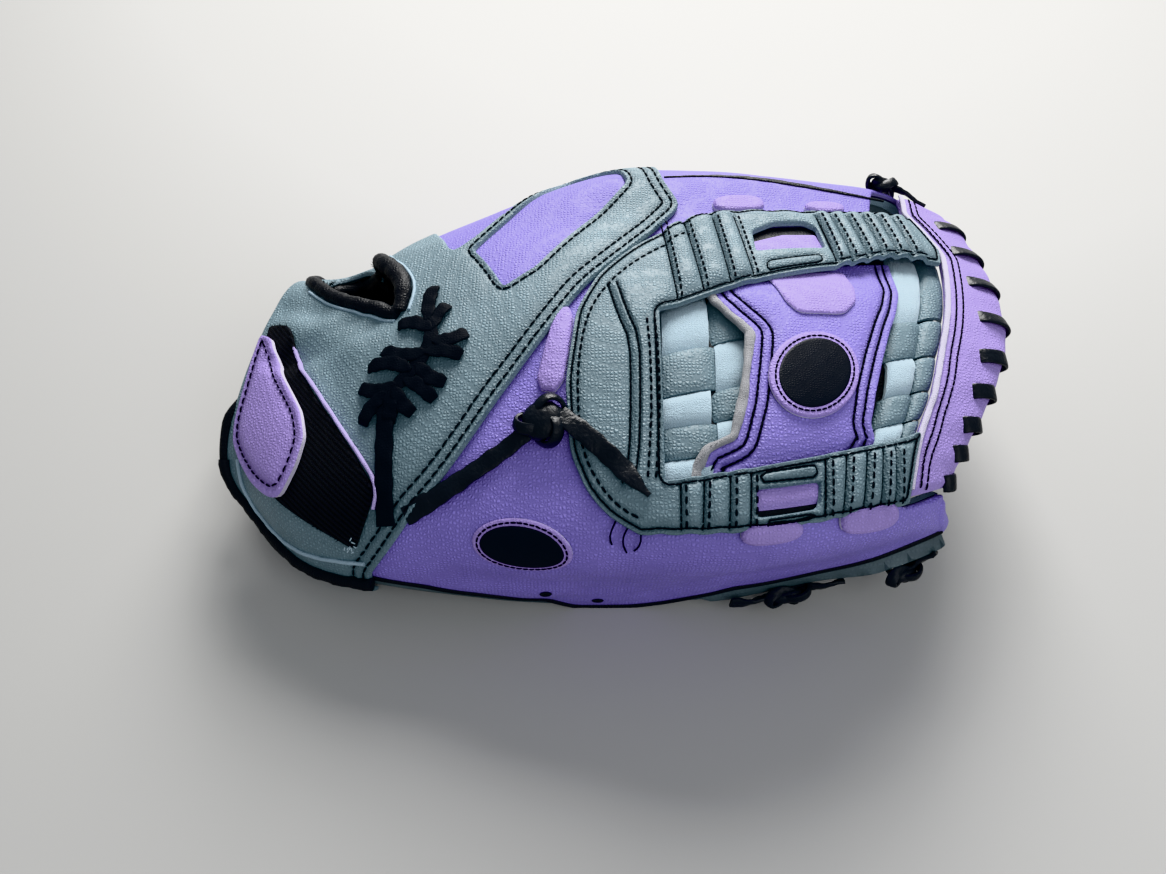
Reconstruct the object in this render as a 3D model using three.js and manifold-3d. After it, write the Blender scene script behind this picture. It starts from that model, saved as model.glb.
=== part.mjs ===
// A left-hand softball glove, folded shut and lying with its web up. Millimetres, +Z up.
// X runs from the wrist to the fingertips, the thumb is on the -Y side and the fingers on the +Y side.
import * as THREE from 'three';
import { mergeVertices } from 'three/addons/utils/BufferGeometryUtils.js';
import Module from 'manifold-3d';

const wasm = await Module();
wasm.setup();

// Thicknesses and clearances
const GAP = 0.3;
const LAYER = 0.8;
const SHELL = 2.5;
const PANEL = 2.3;
const PALM = 4;
const LACE = 2;
const LACE_WIDTH = 5.2;

// Depth of the hollows between the backs and the palm
const HAND_DEPTH = 23;
const THUMB_DEPTH = 24;
const FINGER_DEPTH = 19;
const FINGER_SWELL = 5.5;

// Heights above the shell's outer face at which each layer starts
const ON_SHELL = LAYER;
const ON_PANEL = ON_SHELL + PANEL + LAYER;
const ON_PATCH = ON_PANEL + LACE + LAYER;

// Leather, lace and felt colours
const PURPLE = { color: 0x8f72d6, roughness: 0.6, metalness: 0 };
const LILAC = { color: 0xbd8de0, roughness: 0.6, metalness: 0 };
const GREY = { color: 0x7e8d94, roughness: 0.6, metalness: 0 };
const BLACK = { color: 0x14171c, roughness: 0.45, metalness: 0 };
const FELT = { color: 0xdce4e6, roughness: 0.95, metalness: 0 };

// Sections of the outer skin, wrist first. Each goes over the glove through nine lines that run along it:
// the hem under the thumb, the thumb's belly, the near rail, the crown, the far edge of the web, the three
// seams between the fingers, and the little finger's tucked edge. Each line is a (y, z) pair.
const SECTIONS = [
  { x: -140, wrist: 1, tip: 0, yz: [-71, 9, -54, 19, -38, 30, -8, 46, 34, 56, 52, 47, 60, 28, 52, 10, 22, 5] },
  { x: -120, wrist: 0.4, tip: 0, yz: [-79, 4, -83, 23, -66, 47, -16, 62, 28, 66, 46, 57, 66, 34, 62, 9, 28, 4.5] },
  { x: -90, wrist: 0.08, tip: 0, yz: [-86, 1, -94, 27, -78, 56, -20, 75, 34, 76, 60, 65, 80, 38, 74, 8, 34, 4] },
  { x: -45, wrist: 0, tip: 0, yz: [-91, 0, -98, 30, -89, 64, -24, 87, 42, 87, 78, 74, 96, 42, 88, 4, 40, 0] },
  { x: 0, wrist: 0, tip: 0, yz: [-92, 0, -98, 34, -95, 70, -24, 92, 46, 90, 98, 75, 112, 44, 100, 4, 42, 0] },
  { x: 46, wrist: 0, tip: 0, yz: [-88, 2, -96, 36, -96, 75, -18, 93, 57, 87, 102, 73, 117, 44, 103, 4, 42, 0] },
  { x: 90, wrist: 0, tip: 0.12, yz: [-79, 8, -89, 38, -86, 72, -12, 89, 62, 83, 101, 68, 113, 42, 98, 5, 42, 0] },
  { x: 112, wrist: 0, tip: 0.42, yz: [-74, 14, -83, 38, -78, 67, -6, 82, 66, 78, 96, 64, 104, 40, 92, 9, 42, 2] },
  { x: 127, wrist: 0, tip: 1, yz: [-69, 20, -76, 39, -70, 61, -2, 71, 70, 67, 88, 60, 92, 42, 84, 20, 46, 8] },
];
// How far each line reaches past its section's x at the wrist and at the tips
const WRIST_REACH = [-1, -17, -28, -24, -12, -4, 0, 2, 0];
const TIP_REACH = [1, 3, -1, 37, 36, 19, 13, 7, 3];

const TIP = SECTIONS.length - 1;
const LINE = { hem: 0, belly: 1, rail: 2, crown: 3, edge: 4, index: 5, middle: 6, ring: 7, tuck: 8 };

const SECTION_LINES = SECTIONS.map((section) =>
  WRIST_REACH.map((reach, line) => new THREE.Vector3(
    section.x + reach * section.wrist + TIP_REACH[line] * section.tip,
    section.yz[2 * line],
    section.yz[2 * line + 1],
  )));

// Edges of the pieces, as rows of [line, station] or [station, line] read in between
const BAND_EDGE = [
  [0, 1.62], [1.2, 1.8], [2.04, 2.28], [2.72, 2.92], [3.42, 3.66], [4.3, 4.6], [4.9, 4.45],
  [5.2, 4.1], [5.45, 3], [5.7, 2.1], [8, 2],
];
const BASE_EDGE = [
  [2, 4.1], [2.1, 3.86], [2.24, 3.68], [2.45, 3.53], [2.8, 3.49], [3.24, 3.58], [3.5, 3.78],
  [3.72, 4.1], [3.92, 4.62], [4.05, 5],
];
const WEB_END = [[2, 6.6], [2.35, 6.75], [2.6, 7], [2.9, 7.1], [3.2, 7.24], [3.6, 7.42], [4.1, 7.2], [4.5, 7.3]];
const NEAR_RAIL_INSIDE = [[4.2, 2.29], [5.2, 2.34], [6.6, 2.4]];
const FAR_RAIL_INSIDE = [[4.3, 3.17], [5.16, 3.32], [5.86, 3.42], [6.6, 3.5]];
const PANEL_LEFT = [[2.24, 4.55], [2.4, 4.62], [2.5, 4.9], [2.72, 5.04], [2.98, 5.1], [3.22, 4.84], [3.5, 4.7]];
const PANEL_RIGHT = [[2.24, 5.95], [2.42, 6.07], [2.58, 6.16], [3.06, 6.48], [3.26, 6.66], [3.5, 6.66]];

// Lines that the shell, the palm panels and the wrist panel share, so that their facets run side by side
const RUNS = [[0, 6], [2.13, 4], [3.86, 5], [5, 4], [6, 4], [7, 4], [8, 0]];
const LINES = RUNS.slice(0, -1).flatMap(([from, count], k) => Array.from(
  { length: count },
  (_, j) => from + ((RUNS[k + 1][0] - from) * j) / count,
)).concat(8);

const WINDOW_START = 4.3;
const CROTCH_END = 4.15;
const HEEL_END = 3.9;
const THUMB_EDGE = 2.13;
const INDEX_EDGE = 3.86;
const SEAM_SLACK = 0.005;
const UNDER_BAND = 0.25;
const END_SLACK = 0.024;
const FINGER_HOLE = { u: 1, v: 4.55, along: 21, round: 24 };
const HOLE_ROLL = 3.6;
const BINDING_ROLL = 3.3;
const TIP_UNDER = -5;
const TIP_OVER = 2.4;

const clamp01 = (value) => Math.min(1, Math.max(0, value));
const smooth = (from, to, value) => {
  const t = clamp01((value - from) / (to - from));
  return t * t * (3 - 2 * t);
};

// Near the tips the thumb's and the index finger's edges draw back from the web's lilac roll
function drawn(u, v) {
  const tip = smooth(6.2, 6.6, u);
  if (v <= THUMB_EDGE) return v * (1 - 0.085 * tip);
  if (v >= INDEX_EDGE && v < LINE.index) {
    const start = INDEX_EDGE + 0.68 * smooth(6.5, 7, u);
    return start + ((v - INDEX_EDGE) * (LINE.index - start)) / (LINE.index - INDEX_EDGE);
  }
  return v;
}

function read(rows, at) {
  const next = rows.findIndex((row) => row[0] >= at);
  if (next === 0) return rows[0][1];
  if (next < 0) return rows[rows.length - 1][1];
  const [a, b] = [rows[next - 1], rows[next]];
  return a[1] + ((b[1] - a[1]) * (at - a[0])) / (b[0] - a[0]);
}

// Catmull-Rom value between whole numbers, with straight runs past both ends
function between(pick, count, at) {
  const i = Math.min(count - 2, Math.max(0, Math.floor(at)));
  const f = at - i;
  const [p1, p2] = [pick(i), pick(i + 1)];
  const p0 = i > 0 ? pick(i - 1) : p1.clone().multiplyScalar(2).sub(p2);
  const p3 = i < count - 2 ? pick(i + 2) : p2.clone().multiplyScalar(2).sub(p1);
  const weights = [
    -f + 2 * f * f - f ** 3,
    2 - 5 * f * f + 3 * f ** 3,
    f + 4 * f * f - 3 * f ** 3,
    -f * f + f ** 3,
  ];
  const sum = new THREE.Vector3();
  [p0, p1, p2, p3].forEach((p, k) => sum.addScaledVector(p, weights[k] / 2));
  return sum;
}

// Each finger rounds out between its seams, and fades to nothing at the knuckles and the tips
function swell(u, v) {
  if (v <= LINE.edge) return 0;
  const across = Math.sin(Math.PI * (v - Math.floor(Math.min(v, LINE.tuck - 1e-6)))) ** 2;
  return FINGER_SWELL * across * smooth(2.2, 4.2, u) * smooth(TIP, TIP - 0.9, u);
}

const bare = (u, v) => between(
  (station) => between((line) => SECTION_LINES[station][line], WRIST_REACH.length, v),
  SECTIONS.length,
  u,
);

function normalOf(surface, u, v) {
  const step = 0.02;
  const along = surface(u + step, v).sub(surface(u - step, v));
  const around = surface(u, v + step).sub(surface(u, v - step));
  return along.cross(around).normalize();
}

// The glove's outer skin: u counts stations from the wrist, v counts lines from the hem
function skin(u, v) {
  const point = bare(u, v);
  const out = swell(u, v);
  if (out > 0) point.addScaledVector(normalOf(bare, u, v), out);
  point.z = Math.max(0, point.z);
  return point;
}
const normal = (u, v) => normalOf(skin, u, v);

// A normal averaged round the glove, for the deep offset to the palm
function easyNormal(u, v) {
  const sum = new THREE.Vector3();
  [-0.7, -0.35, 0, 0.35, 0.7].forEach((shift) => {
    const around = Math.min(LINE.tuck, Math.max(LINE.hem, v + shift));
    sum.add(normalOf(bare, u, around));
  });
  return sum.normalize();
}

const raised = (u, v, height) => {
  const point = skin(u, v).addScaledVector(normal(u, v), height);
  point.z = Math.max(0, point.z);
  return point;
};

// Room between the backs and the palm: one hollow for the hand, then one for each stall
function hollow(u, v) {
  const hand = HAND_DEPTH * Math.sin((Math.PI * clamp01(v / LINE.tuck))) ** 0.55;
  let stall = 0;
  if (v < THUMB_EDGE) stall = THUMB_DEPTH * Math.sin((Math.PI * v) / THUMB_EDGE) ** 1.1;
  if (v > LINE.edge) stall = FINGER_DEPTH * Math.sin(Math.PI * (v - Math.floor(v))) ** 2;
  const split = smooth(2.7, 4, u);
  return (hand * (1 - split) + stall * split) * smooth(TIP, TIP - 1.3, u);
}

function palmFace(u, line, depth) {
  const v = drawn(u, line);
  const point = raised(u, v, -SHELL - LAYER).addScaledVector(easyNormal(u, v), -hollow(u, line) - depth);
  point.z = Math.max(0, point.z);
  return point;
}
const palmOut = (u, line) => palmFace(u, line, 0);
const palmIn = (u, line) => palmFace(u, line, PALM);

// Moves a (u, v) place by a step along the skin
function slide(u, v, move) {
  const step = 0.02;
  const su = skin(u + step, v).sub(skin(u - step, v)).divideScalar(2 * step);
  const sv = skin(u, v + step).sub(skin(u, v - step)).divideScalar(2 * step);
  const [a, b, c] = [su.dot(su), su.dot(sv), sv.dot(sv)];
  const [p, q] = [su.dot(move), sv.dot(move)];
  const det = a * c - b * b;
  return [u + (p * c - q * b) / det, v + (q * a - p * b) / det];
}

// Directions on the skin: along the glove, and across it towards the fingers
function directions(u, v) {
  const up = normal(u, v);
  const along = skin(u + 0.05, v).sub(skin(u - 0.05, v));
  along.addScaledVector(up, -along.dot(up)).normalize();
  return { along, across: up.clone().cross(along), up };
}

function closedGeometry(points, faces) {
  const used = new Map();
  const positions = [];
  const index = [];
  faces.flat().forEach((id) => {
    if (!used.has(id)) {
      used.set(id, used.size);
      positions.push(...points[id].toArray());
    }
    index.push(used.get(id));
  });
  const geometry = new THREE.BufferGeometry();
  geometry.setAttribute('position', new THREE.Float32BufferAttribute(positions, 3));
  geometry.setIndex(index);
  return facingOut(geometry);
}

function facingOut(geometry) {
  const position = geometry.getAttribute('position');
  const index = geometry.getIndex().array;
  const corner = [0, 1, 2].map(() => new THREE.Vector3());
  let volume = 0;
  for (let i = 0; i < index.length; i += 3) {
    corner.forEach((point, k) => point.fromBufferAttribute(position, index[i + k]));
    volume += corner[0].dot(corner[1].clone().cross(corner[2]));
  }
  if (volume < 0) {
    for (let i = 0; i < index.length; i += 3) [index[i], index[i + 1]] = [index[i + 1], index[i]];
  }
  return geometry;
}

// A closed wall between two faces on one grid. Cells that keep turns down stay open.
function wall(rows, columns, outer, inner, keep = () => true) {
  const points = [];
  const id = (i, j, side) => (i * (columns + 1) + j) * 2 + side;
  for (let i = 0; i <= rows; i += 1) {
    for (let j = 0; j <= columns; j += 1) points.push(outer(i, j), inner(i, j));
  }
  const kept = (i, j) => i >= 0 && j >= 0 && i < rows && j < columns && keep(i, j);
  const faces = [];
  const quad = (a, b, c, d) => faces.push([a, b, c], [a, c, d]);
  for (let i = 0; i < rows; i += 1) {
    for (let j = 0; j < columns; j += 1) {
      if (!kept(i, j)) continue;
      quad(id(i, j, 0), id(i + 1, j, 0), id(i + 1, j + 1, 0), id(i, j + 1, 0));
      quad(id(i, j, 1), id(i, j + 1, 1), id(i + 1, j + 1, 1), id(i + 1, j, 1));
      if (!kept(i, j - 1)) quad(id(i, j, 0), id(i, j, 1), id(i + 1, j, 1), id(i + 1, j, 0));
      if (!kept(i, j + 1)) quad(id(i, j + 1, 0), id(i + 1, j + 1, 0), id(i + 1, j + 1, 1), id(i, j + 1, 1));
      if (!kept(i - 1, j)) quad(id(i, j, 0), id(i, j + 1, 0), id(i, j + 1, 1), id(i, j, 1));
      if (!kept(i + 1, j)) quad(id(i + 1, j, 0), id(i + 1, j, 1), id(i + 1, j + 1, 1), id(i + 1, j + 1, 0));
    }
  }
  return closedGeometry(points, faces);
}

// A leather sheet on the skin, whose grid place(i, j) gives (u, v)
function leather(rows, columns, place, low, high, keep) {
  return wall(
    rows,
    columns,
    (i, j) => raised(...place(i, j), high),
    (i, j) => raised(...place(i, j), low),
    keep,
  );
}

const spread = (from, to, count, i) => from + ((to - from) * i) / count;

// A closed outline with extra points along its straight sides
const finer = (outline, cuts) => outline.flatMap((place, i) => {
  const next = outline[(i + 1) % outline.length];
  return Array.from({ length: cuts }, (_, k) => [0, 1].map((n) => spread(place[n], next[n], cuts, k)));
});

// A flat piece with a round or cornered outline of (u, v) points about its middle
function pad(outline, low, high, rings = 2) {
  const count = outline.length;
  const middle = [0, 1].map((k) => outline.reduce((sum, place) => sum + place[k], 0) / count);
  const points = [raised(...middle, high), raised(...middle, low)];
  for (let ring = 1; ring <= rings; ring += 1) {
    outline.forEach((place) => {
      const at = [0, 1].map((k) => middle[k] + ((place[k] - middle[k]) * ring) / rings);
      points.push(raised(...at, high), raised(...at, low));
    });
  }
  const id = (ring, i, side) => 2 + ((ring - 1) * count + (i % count)) * 2 + side;
  const faces = [];
  for (let i = 0; i < count; i += 1) {
    faces.push([0, id(1, i, 0), id(1, i + 1, 0)], [1, id(1, i + 1, 1), id(1, i, 1)]);
    for (let ring = 1; ring < rings; ring += 1) {
      const [a, b, c, d] = [id(ring, i, 0), id(ring + 1, i, 0), id(ring + 1, i + 1, 0), id(ring, i + 1, 0)];
      faces.push([a, b, c], [a, c, d], [a + 1, c + 1, b + 1], [a + 1, d + 1, c + 1]);
    }
    const [e, f] = [id(rings, i, 0), id(rings, i + 1, 0)];
    faces.push([e, e + 1, f + 1], [e, f + 1, f]);
  }
  return closedGeometry(points, faces);
}

// An oval outline on the skin, from its half lengths and its turn from the glove's length
function oval(u, v, half, tall, turn, count = 16) {
  const { along, across } = directions(u, v);
  return Array.from({ length: count }, (_, i) => {
    const angle = (2 * Math.PI * i) / count;
    const [a, b] = [half * Math.cos(angle), tall * Math.sin(angle)];
    const [x, y] = [a * Math.cos(turn) - b * Math.sin(turn), a * Math.sin(turn) + b * Math.cos(turn)];
    return slide(u, v, along.clone().multiplyScalar(x).addScaledVector(across, y));
  });
}

// A flat strap that follows the skin through (u, v) places
function strap(places, width, low, high, steps = 8) {
  const curve = new THREE.CatmullRomCurve3(places.map(([u, v]) => new THREE.Vector3(u, v, 0)));
  const sides = Array.from({ length: steps + 1 }, (_, i) => {
    const here = curve.getPoint(i / steps);
    const before = curve.getPoint(Math.max(0, i / steps - 0.01));
    const after = curve.getPoint(Math.min(1, i / steps + 0.01));
    const run = skin(after.x, after.y).sub(skin(before.x, before.y)).normalize();
    const side = normal(here.x, here.y).cross(run).normalize();
    return [-0.5, 0, 0.5].map((share) => slide(here.x, here.y, side.clone().multiplyScalar(share * width)));
  });
  return leather(steps, 2, (i, j) => sides[i][j], low, high);
}

// A round roll along a path of centres, closed on itself or with flat ends
function roll(centres, outward, radius, closed, sides = 6) {
  const count = centres.length;
  const points = [];
  centres.forEach((centre, i) => {
    const back = centres[closed ? (i + count - 1) % count : Math.max(0, i - 1)];
    const ahead = centres[closed ? (i + 1) % count : Math.min(count - 1, i + 1)];
    const run = ahead.clone().sub(back).normalize();
    const up = outward[i].clone().addScaledVector(run, -outward[i].dot(run)).normalize();
    const side = run.clone().cross(up);
    for (let k = 0; k < sides; k += 1) {
      const angle = (2 * Math.PI * k) / sides;
      points.push(centre.clone()
        .addScaledVector(up, radius * Math.cos(angle))
        .addScaledVector(side, radius * Math.sin(angle)));
    }
  });
  const id = (i, k) => (i % count) * sides + (k % sides);
  const faces = [];
  for (let i = 0; i < (closed ? count : count - 1); i += 1) {
    for (let k = 0; k < sides; k += 1) {
      const [a, b, c, d] = [id(i, k), id(i, k + 1), id(i + 1, k + 1), id(i + 1, k)];
      faces.push([a, b, c], [a, c, d]);
    }
  }
  if (!closed) {
    for (let k = 1; k < sides - 1; k += 1) {
      faces.push([id(0, 0), id(0, k + 1), id(0, k)], [id(count - 1, 0), id(count - 1, k), id(count - 1, k + 1)]);
    }
  }
  return closedGeometry(points, faces);
}

// A knot is a squashed ball that sits on the skin, its size given along, across and up from it
function knot(u, v, size, seat = ON_SHELL) {
  const { along, across, up } = directions(u, v);
  const centre = raised(u, v, seat + size[2]);
  const turn = new THREE.Matrix4().makeBasis(along, across, up).setPosition(centre);
  const geometry = new THREE.IcosahedronGeometry(1, 1);
  geometry.scale(...size);
  geometry.applyMatrix4(turn);
  geometry.deleteAttribute('normal');
  geometry.deleteAttribute('uv');
  return mergeVertices(geometry, 1e-3);
}

function solid(geometry) {
  const plain = geometry.clone();
  plain.deleteAttribute('normal');
  plain.deleteAttribute('uv');
  const merged = mergeVertices(plain, 1e-3);
  return new wasm.Manifold(new wasm.Mesh({
    numProp: 3,
    vertProperties: new Float32Array(merged.getAttribute('position').array),
    triVerts: new Uint32Array(merged.getIndex().array),
  }));
}

function geometryOf(body) {
  const mesh = body.getMesh();
  const geometry = new THREE.BufferGeometry();
  geometry.setAttribute('position', new THREE.Float32BufferAttribute(mesh.vertProperties, 3));
  geometry.setIndex(Array.from(mesh.triVerts));
  return geometry;
}

const cut = (geometry, ...cutters) => geometryOf(
  cutters.reduce((body, cutter) => body.subtract(solid(cutter)), solid(geometry)),
);

const joined = (geometries) => geometryOf(
  geometries.map(solid).reduce((body, other) => body.add(other)),
);

const DEEP = 12;

const part = new THREE.Group();

function add(name, geometry, look) {
  geometry.computeVertexNormals();
  const mesh = new THREE.Mesh(geometry, new THREE.MeshStandardMaterial(look));
  mesh.name = name;
  part.add(mesh);
}

// Thumb back: from under the band to the tip, with the crotch under the web's base
function thumbBack() {
  const thumb = LINES.indexOf(THUMB_EDGE);
  const lines = LINES.filter((line) => line < INDEX_EDGE).concat(INDEX_EDGE - 2 * SEAM_SLACK);
  const short = 4;
  const long = 10;
  const place = (i, j) => {
    const start = read(BAND_EDGE, lines[j]) - UNDER_BAND;
    const u = i <= short ? spread(start, CROTCH_END, short, i) : spread(CROTCH_END, TIP, long, i - short);
    return [u, drawn(u, lines[j])];
  };
  const keep = (i, j) => j < thumb || i < short;
  return leather(short + long, lines.length - 1, place, -SHELL, 0, keep);
}

// Finger backs: one rounded wall between each pair of seams
function fingerBack(from, to) {
  const rows = 12;
  const inside = LINES.filter((line) => line > from && line < to);
  const lines = [from, ...inside, to];
  const place = (i, j) => {
    const u = spread(read(BAND_EDGE, lines[j]) - UNDER_BAND, TIP, rows, i);
    return [u, drawn(u, lines[j])];
  };
  return leather(rows, lines.length - 1, place, -SHELL, 0);
}

// A palm panel between two lines, sewn edge to edge with its neighbours
function palmPanel(start, end, rows, from, to) {
  const inside = LINES.filter((line) => line > from && line < to);
  const lines = [from > LINE.hem ? from + SEAM_SLACK : from, ...inside, to < LINE.tuck ? to - SEAM_SLACK : to];
  const place = (face) => (i, j) => face(spread(start, end, rows, i), lines[j]);
  return wall(rows, lines.length - 1, place(palmOut), place(palmIn));
}
const heelPanel = (from, to) => palmPanel(0.05, HEEL_END - SEAM_SLACK, 7, from, to);
const stallPanel = (from, to) => palmPanel(HEEL_END + SEAM_SLACK, TIP, 9, from, to);

// Wrist panel: over the back of the hand to the diagonal band, with its window and the finger hole
const BAND_WINDOW = [[2.62, 3.9], [3.5, 4.96], [4.02, 4.62], [4.08, 4.42], [3.2, 3.6], [2.92, 3.47]];

function wristPanel() {
  const rows = 9;
  const place = (i, j) => [spread(0, read(BAND_EDGE, LINES[j]), rows, i), LINES[j]];
  const sheet = leather(rows, LINES.length - 1, place, ON_SHELL, ON_SHELL + PANEL);
  const { u, v, along, round } = FINGER_HOLE;
  return cut(sheet, pad(oval(u, v, along, round, 0, 20), -DEEP, DEEP, 1), pad(BAND_WINDOW, -DEEP, DEEP, 1));
}

// The purple leather behind the band's window, a little larger than the window
function bandWindow() {
  const outline = BAND_WINDOW.map(([u, v]) => [3.33 + (u - 3.33) * 1.08, 4.2 + (v - 4.2) * 1.1]);
  return pad(finer(outline, 3), -SHELL - GAP, -GAP, 3);
}

function fingerHoleRim() {
  const { u, v, along, round } = FINGER_HOLE;
  const inside = HOLE_ROLL + LAYER;
  const places = oval(u, v, along - inside, round - inside, 0, 22);
  const centres = places.map(([a, b]) => raised(a, b, ON_SHELL + PANEL / 2));
  return roll(centres, places.map(([a, b]) => normal(a, b)), HOLE_ROLL, true);
}

function wristBinding() {
  const centres = LINES.map((v) => {
    const { along, up } = directions(0, v);
    const rim = skin(0, v + 0.05).sub(skin(0, v - 0.05));
    const back = up.clone().cross(rim).normalize();
    if (back.dot(along) > 0) back.negate();
    const point = raised(0, v, ON_SHELL + PANEL / 2).addScaledVector(back, BINDING_ROLL + LAYER);
    point.z = Math.max(BINDING_ROLL, point.z);
    return point;
  });
  return roll(centres, LINES.map((v) => normal(0, v)), BINDING_ROLL, false);
}

// Web frame: rounded base and two rails, open in the middle and towards the tip
function webFrame() {
  const near = 2;
  const middle = 4;
  const far = 4;
  const base = 3;
  const rails = 9;
  const nominal = (j) => (j <= near ? spread(2, 2.32, near, j)
    : j <= near + middle ? spread(2.32, 3.3, middle, j - near)
      : spread(3.3, 4, far, j - near - middle));
  const place = (i, j) => {
    const line = nominal(j);
    const start = read(BASE_EDGE, line);
    const inside = Math.max(WINDOW_START, start + 0.25);
    const end = read(WEB_END, line) - END_SLACK;
    const u = i <= base ? spread(start, inside, base, i) : spread(inside, end, rails, i - base);
    const [low, high] = [read(NEAR_RAIL_INSIDE, u), read(FAR_RAIL_INSIDE, u)];
    if (j <= near) return [u, spread(2, low, near, j)];
    if (j <= near + middle) return [u, spread(low, high, middle, j - near)];
    return [u, spread(high, 4, far, j - near - middle)];
  };
  const keep = (i, j) => i < base || j < near || j >= near + middle;
  const sheet = leather(base + rails, near + middle + far, place, ON_SHELL, ON_SHELL + SHELL, keep);
  return cut(sheet, ...RAIL_SLOTS.map((slot) => pad(slot, -DEEP, DEEP, 1)));
}

const RAIL_SLOTS = [
  [[5.02, 2.12], [5.02, 2.22], [5.5, 2.22], [5.48, 2.12]],
  [[5.3, 3.72], [5.34, 3.86], [5.92, 3.86], [5.86, 3.72]],
];

// Lilac strips behind the rails' slots, clear of the stalls' edges
const railInsert = (line, from, to, low, high) => leather(
  4,
  2,
  (i, j) => [spread(from, to, 4, i), spread(line - 0.04, line + 0.04, 2, j)],
  low,
  high,
);

function webPanel() {
  const place = (i, j) => {
    const v = spread(2.24, 3.5, 10, j);
    return [spread(read(PANEL_LEFT, v), read(PANEL_RIGHT, v), 8, i), v];
  };
  return leather(8, 10, place, -SHELL + GAP, 0);
}

const WEAVE_TOP = -SHELL - GAP;
const WEAVE = 1.7;

function weaveStrap(left, right, width) {
  const place = (i, j) => {
    const v = spread(left, right, 10, i) + width * (j / 2 - 0.5);
    return [spread(CROTCH_END + 0.06, read(WEB_END, v) - END_SLACK, 10, i), v];
  };
  return leather(10, 2, place, WEAVE_TOP - WEAVE, WEAVE_TOP);
}

function weaveCross(from, to, low, high) {
  const place = (i, j) => [spread(from, to, 2, i), spread(low, high, 6, j)];
  const top = WEAVE_TOP - WEAVE - GAP;
  return leather(2, 6, place, top - WEAVE, top);
}

function weaveFelt() {
  const place = (i, j) => {
    const v = spread(2.26, 3.55, 6, j);
    return [spread(4.12, read(WEB_END, v) - END_SLACK, 8, i), v];
  };
  const top = WEAVE_TOP - 2 * (WEAVE + GAP);
  return leather(8, 6, place, top - WEAVE, top);
}

function webTipBinding() {
  const lines = [2.04, 2.2, 2.35, 2.48, 2.6, 2.75, 2.9, 3.05, 3.2, 3.4, 3.6, 3.85, 4.1, 4.3, 4.46];
  const place = (i, j) => [spread(read(WEB_END, lines[j]) + END_SLACK, TIP, 3, i), lines[j]];
  return leather(3, lines.length - 1, place, TIP_UNDER, TIP_OVER);
}

// A lace wrap over the web's free edge: over the roll, round its edge and back under it
function edgeLace(v) {
  const { across } = directions(TIP, v);
  const edges = [-0.5, 0.5].map((share) => slide(TIP, v, across.clone().multiplyScalar(share * LACE_WIDTH))[1]);
  const back = 9;
  const thick = 1.6;
  const at = (line, inset, height) => {
    const inward = directions(TIP, line).along.multiplyScalar(-inset);
    const [u] = inset > 0 ? slide(TIP, line, inward) : [TIP];
    const point = skin(u, line);
    if (inset < 0) point.add(inward);
    return point.addScaledVector(normal(u, line), height);
  };
  const [over, under, edge] = [TIP_OVER + LAYER, TIP_UNDER - LAYER, -LAYER];
  const profile = [
    [back, over], [back / 2, over], [edge, over], [edge, under], [back, under],
    [back, under - thick], [edge - thick, under - thick], [edge - thick, over + thick],
    [back / 2, over + thick], [back, over + thick],
  ];
  const points = edges.flatMap((line) => profile.map(([inset, height]) => at(line, inset, height)));
  const count = profile.length;
  const faces = [];
  for (let k = 0; k < count; k += 1) {
    const next = (k + 1) % count;
    faces.push([k, next, count + next], [k, count + next, count + k]);
  }
  const caps = [[0, 1, 8], [0, 8, 9], [1, 2, 7], [1, 7, 8], [2, 3, 6], [2, 6, 7], [3, 4, 5], [3, 5, 6]];
  caps.forEach(([a, b, c]) => faces.push([c, b, a], [count + a, count + b, count + c]));
  return closedGeometry(points, faces);
}

// Shell and stalls
add('thumb_back', thumbBack(), PURPLE);
add('index_back', fingerBack(INDEX_EDGE, LINE.index - SEAM_SLACK), PURPLE);
add('middle_back', fingerBack(LINE.index + SEAM_SLACK, LINE.middle - SEAM_SLACK), PURPLE);
add('ring_back', fingerBack(LINE.middle + SEAM_SLACK, LINE.ring - SEAM_SLACK), PURPLE);
add('pinky_back', fingerBack(LINE.ring + SEAM_SLACK, LINE.tuck), PURPLE);
add('palm_heel_near', heelPanel(LINE.hem, THUMB_EDGE), GREY);
add('palm_heel_top', heelPanel(THUMB_EDGE, LINE.index), GREY);
add('palm_heel_far', heelPanel(LINE.index, LINE.tuck), GREY);
add('palm_thumb', stallPanel(LINE.hem, THUMB_EDGE), GREY);
add('palm_upper_fingers', stallPanel(INDEX_EDGE, LINE.middle), GREY);
add('palm_lower_fingers', stallPanel(LINE.middle, LINE.tuck), GREY);
add('wrist_panel', wristPanel(), GREY);
add('band_window', bandWindow(), PURPLE);
add('finger_hole_rim', fingerHoleRim(), BLACK);
add('wrist_binding', wristBinding(), BLACK);

// Wrist closure
const LOOP_PATCH = [[0.1, 3.45], [0.7, 3.1], [1.3, 2.65], [1.86, 2.18], [1.66, 1.58], [0.86, 1.92], [0.5, 2.4]];
const STRAP_TAB = [[0.04, 3.4], [0.6, 3], [1.04, 2.62], [1.04, 2.36], [0.72, 1.86], [0.14, 1.96], [0.06, 2.44]];
add('loop_patch', pad(finer(LOOP_PATCH, 4), ON_PANEL, ON_PANEL + LACE, 4), BLACK);
add('strap_tab', pad(finer(STRAP_TAB, 3), ON_PATCH, ON_PATCH + SHELL, 3), LILAC);

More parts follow.
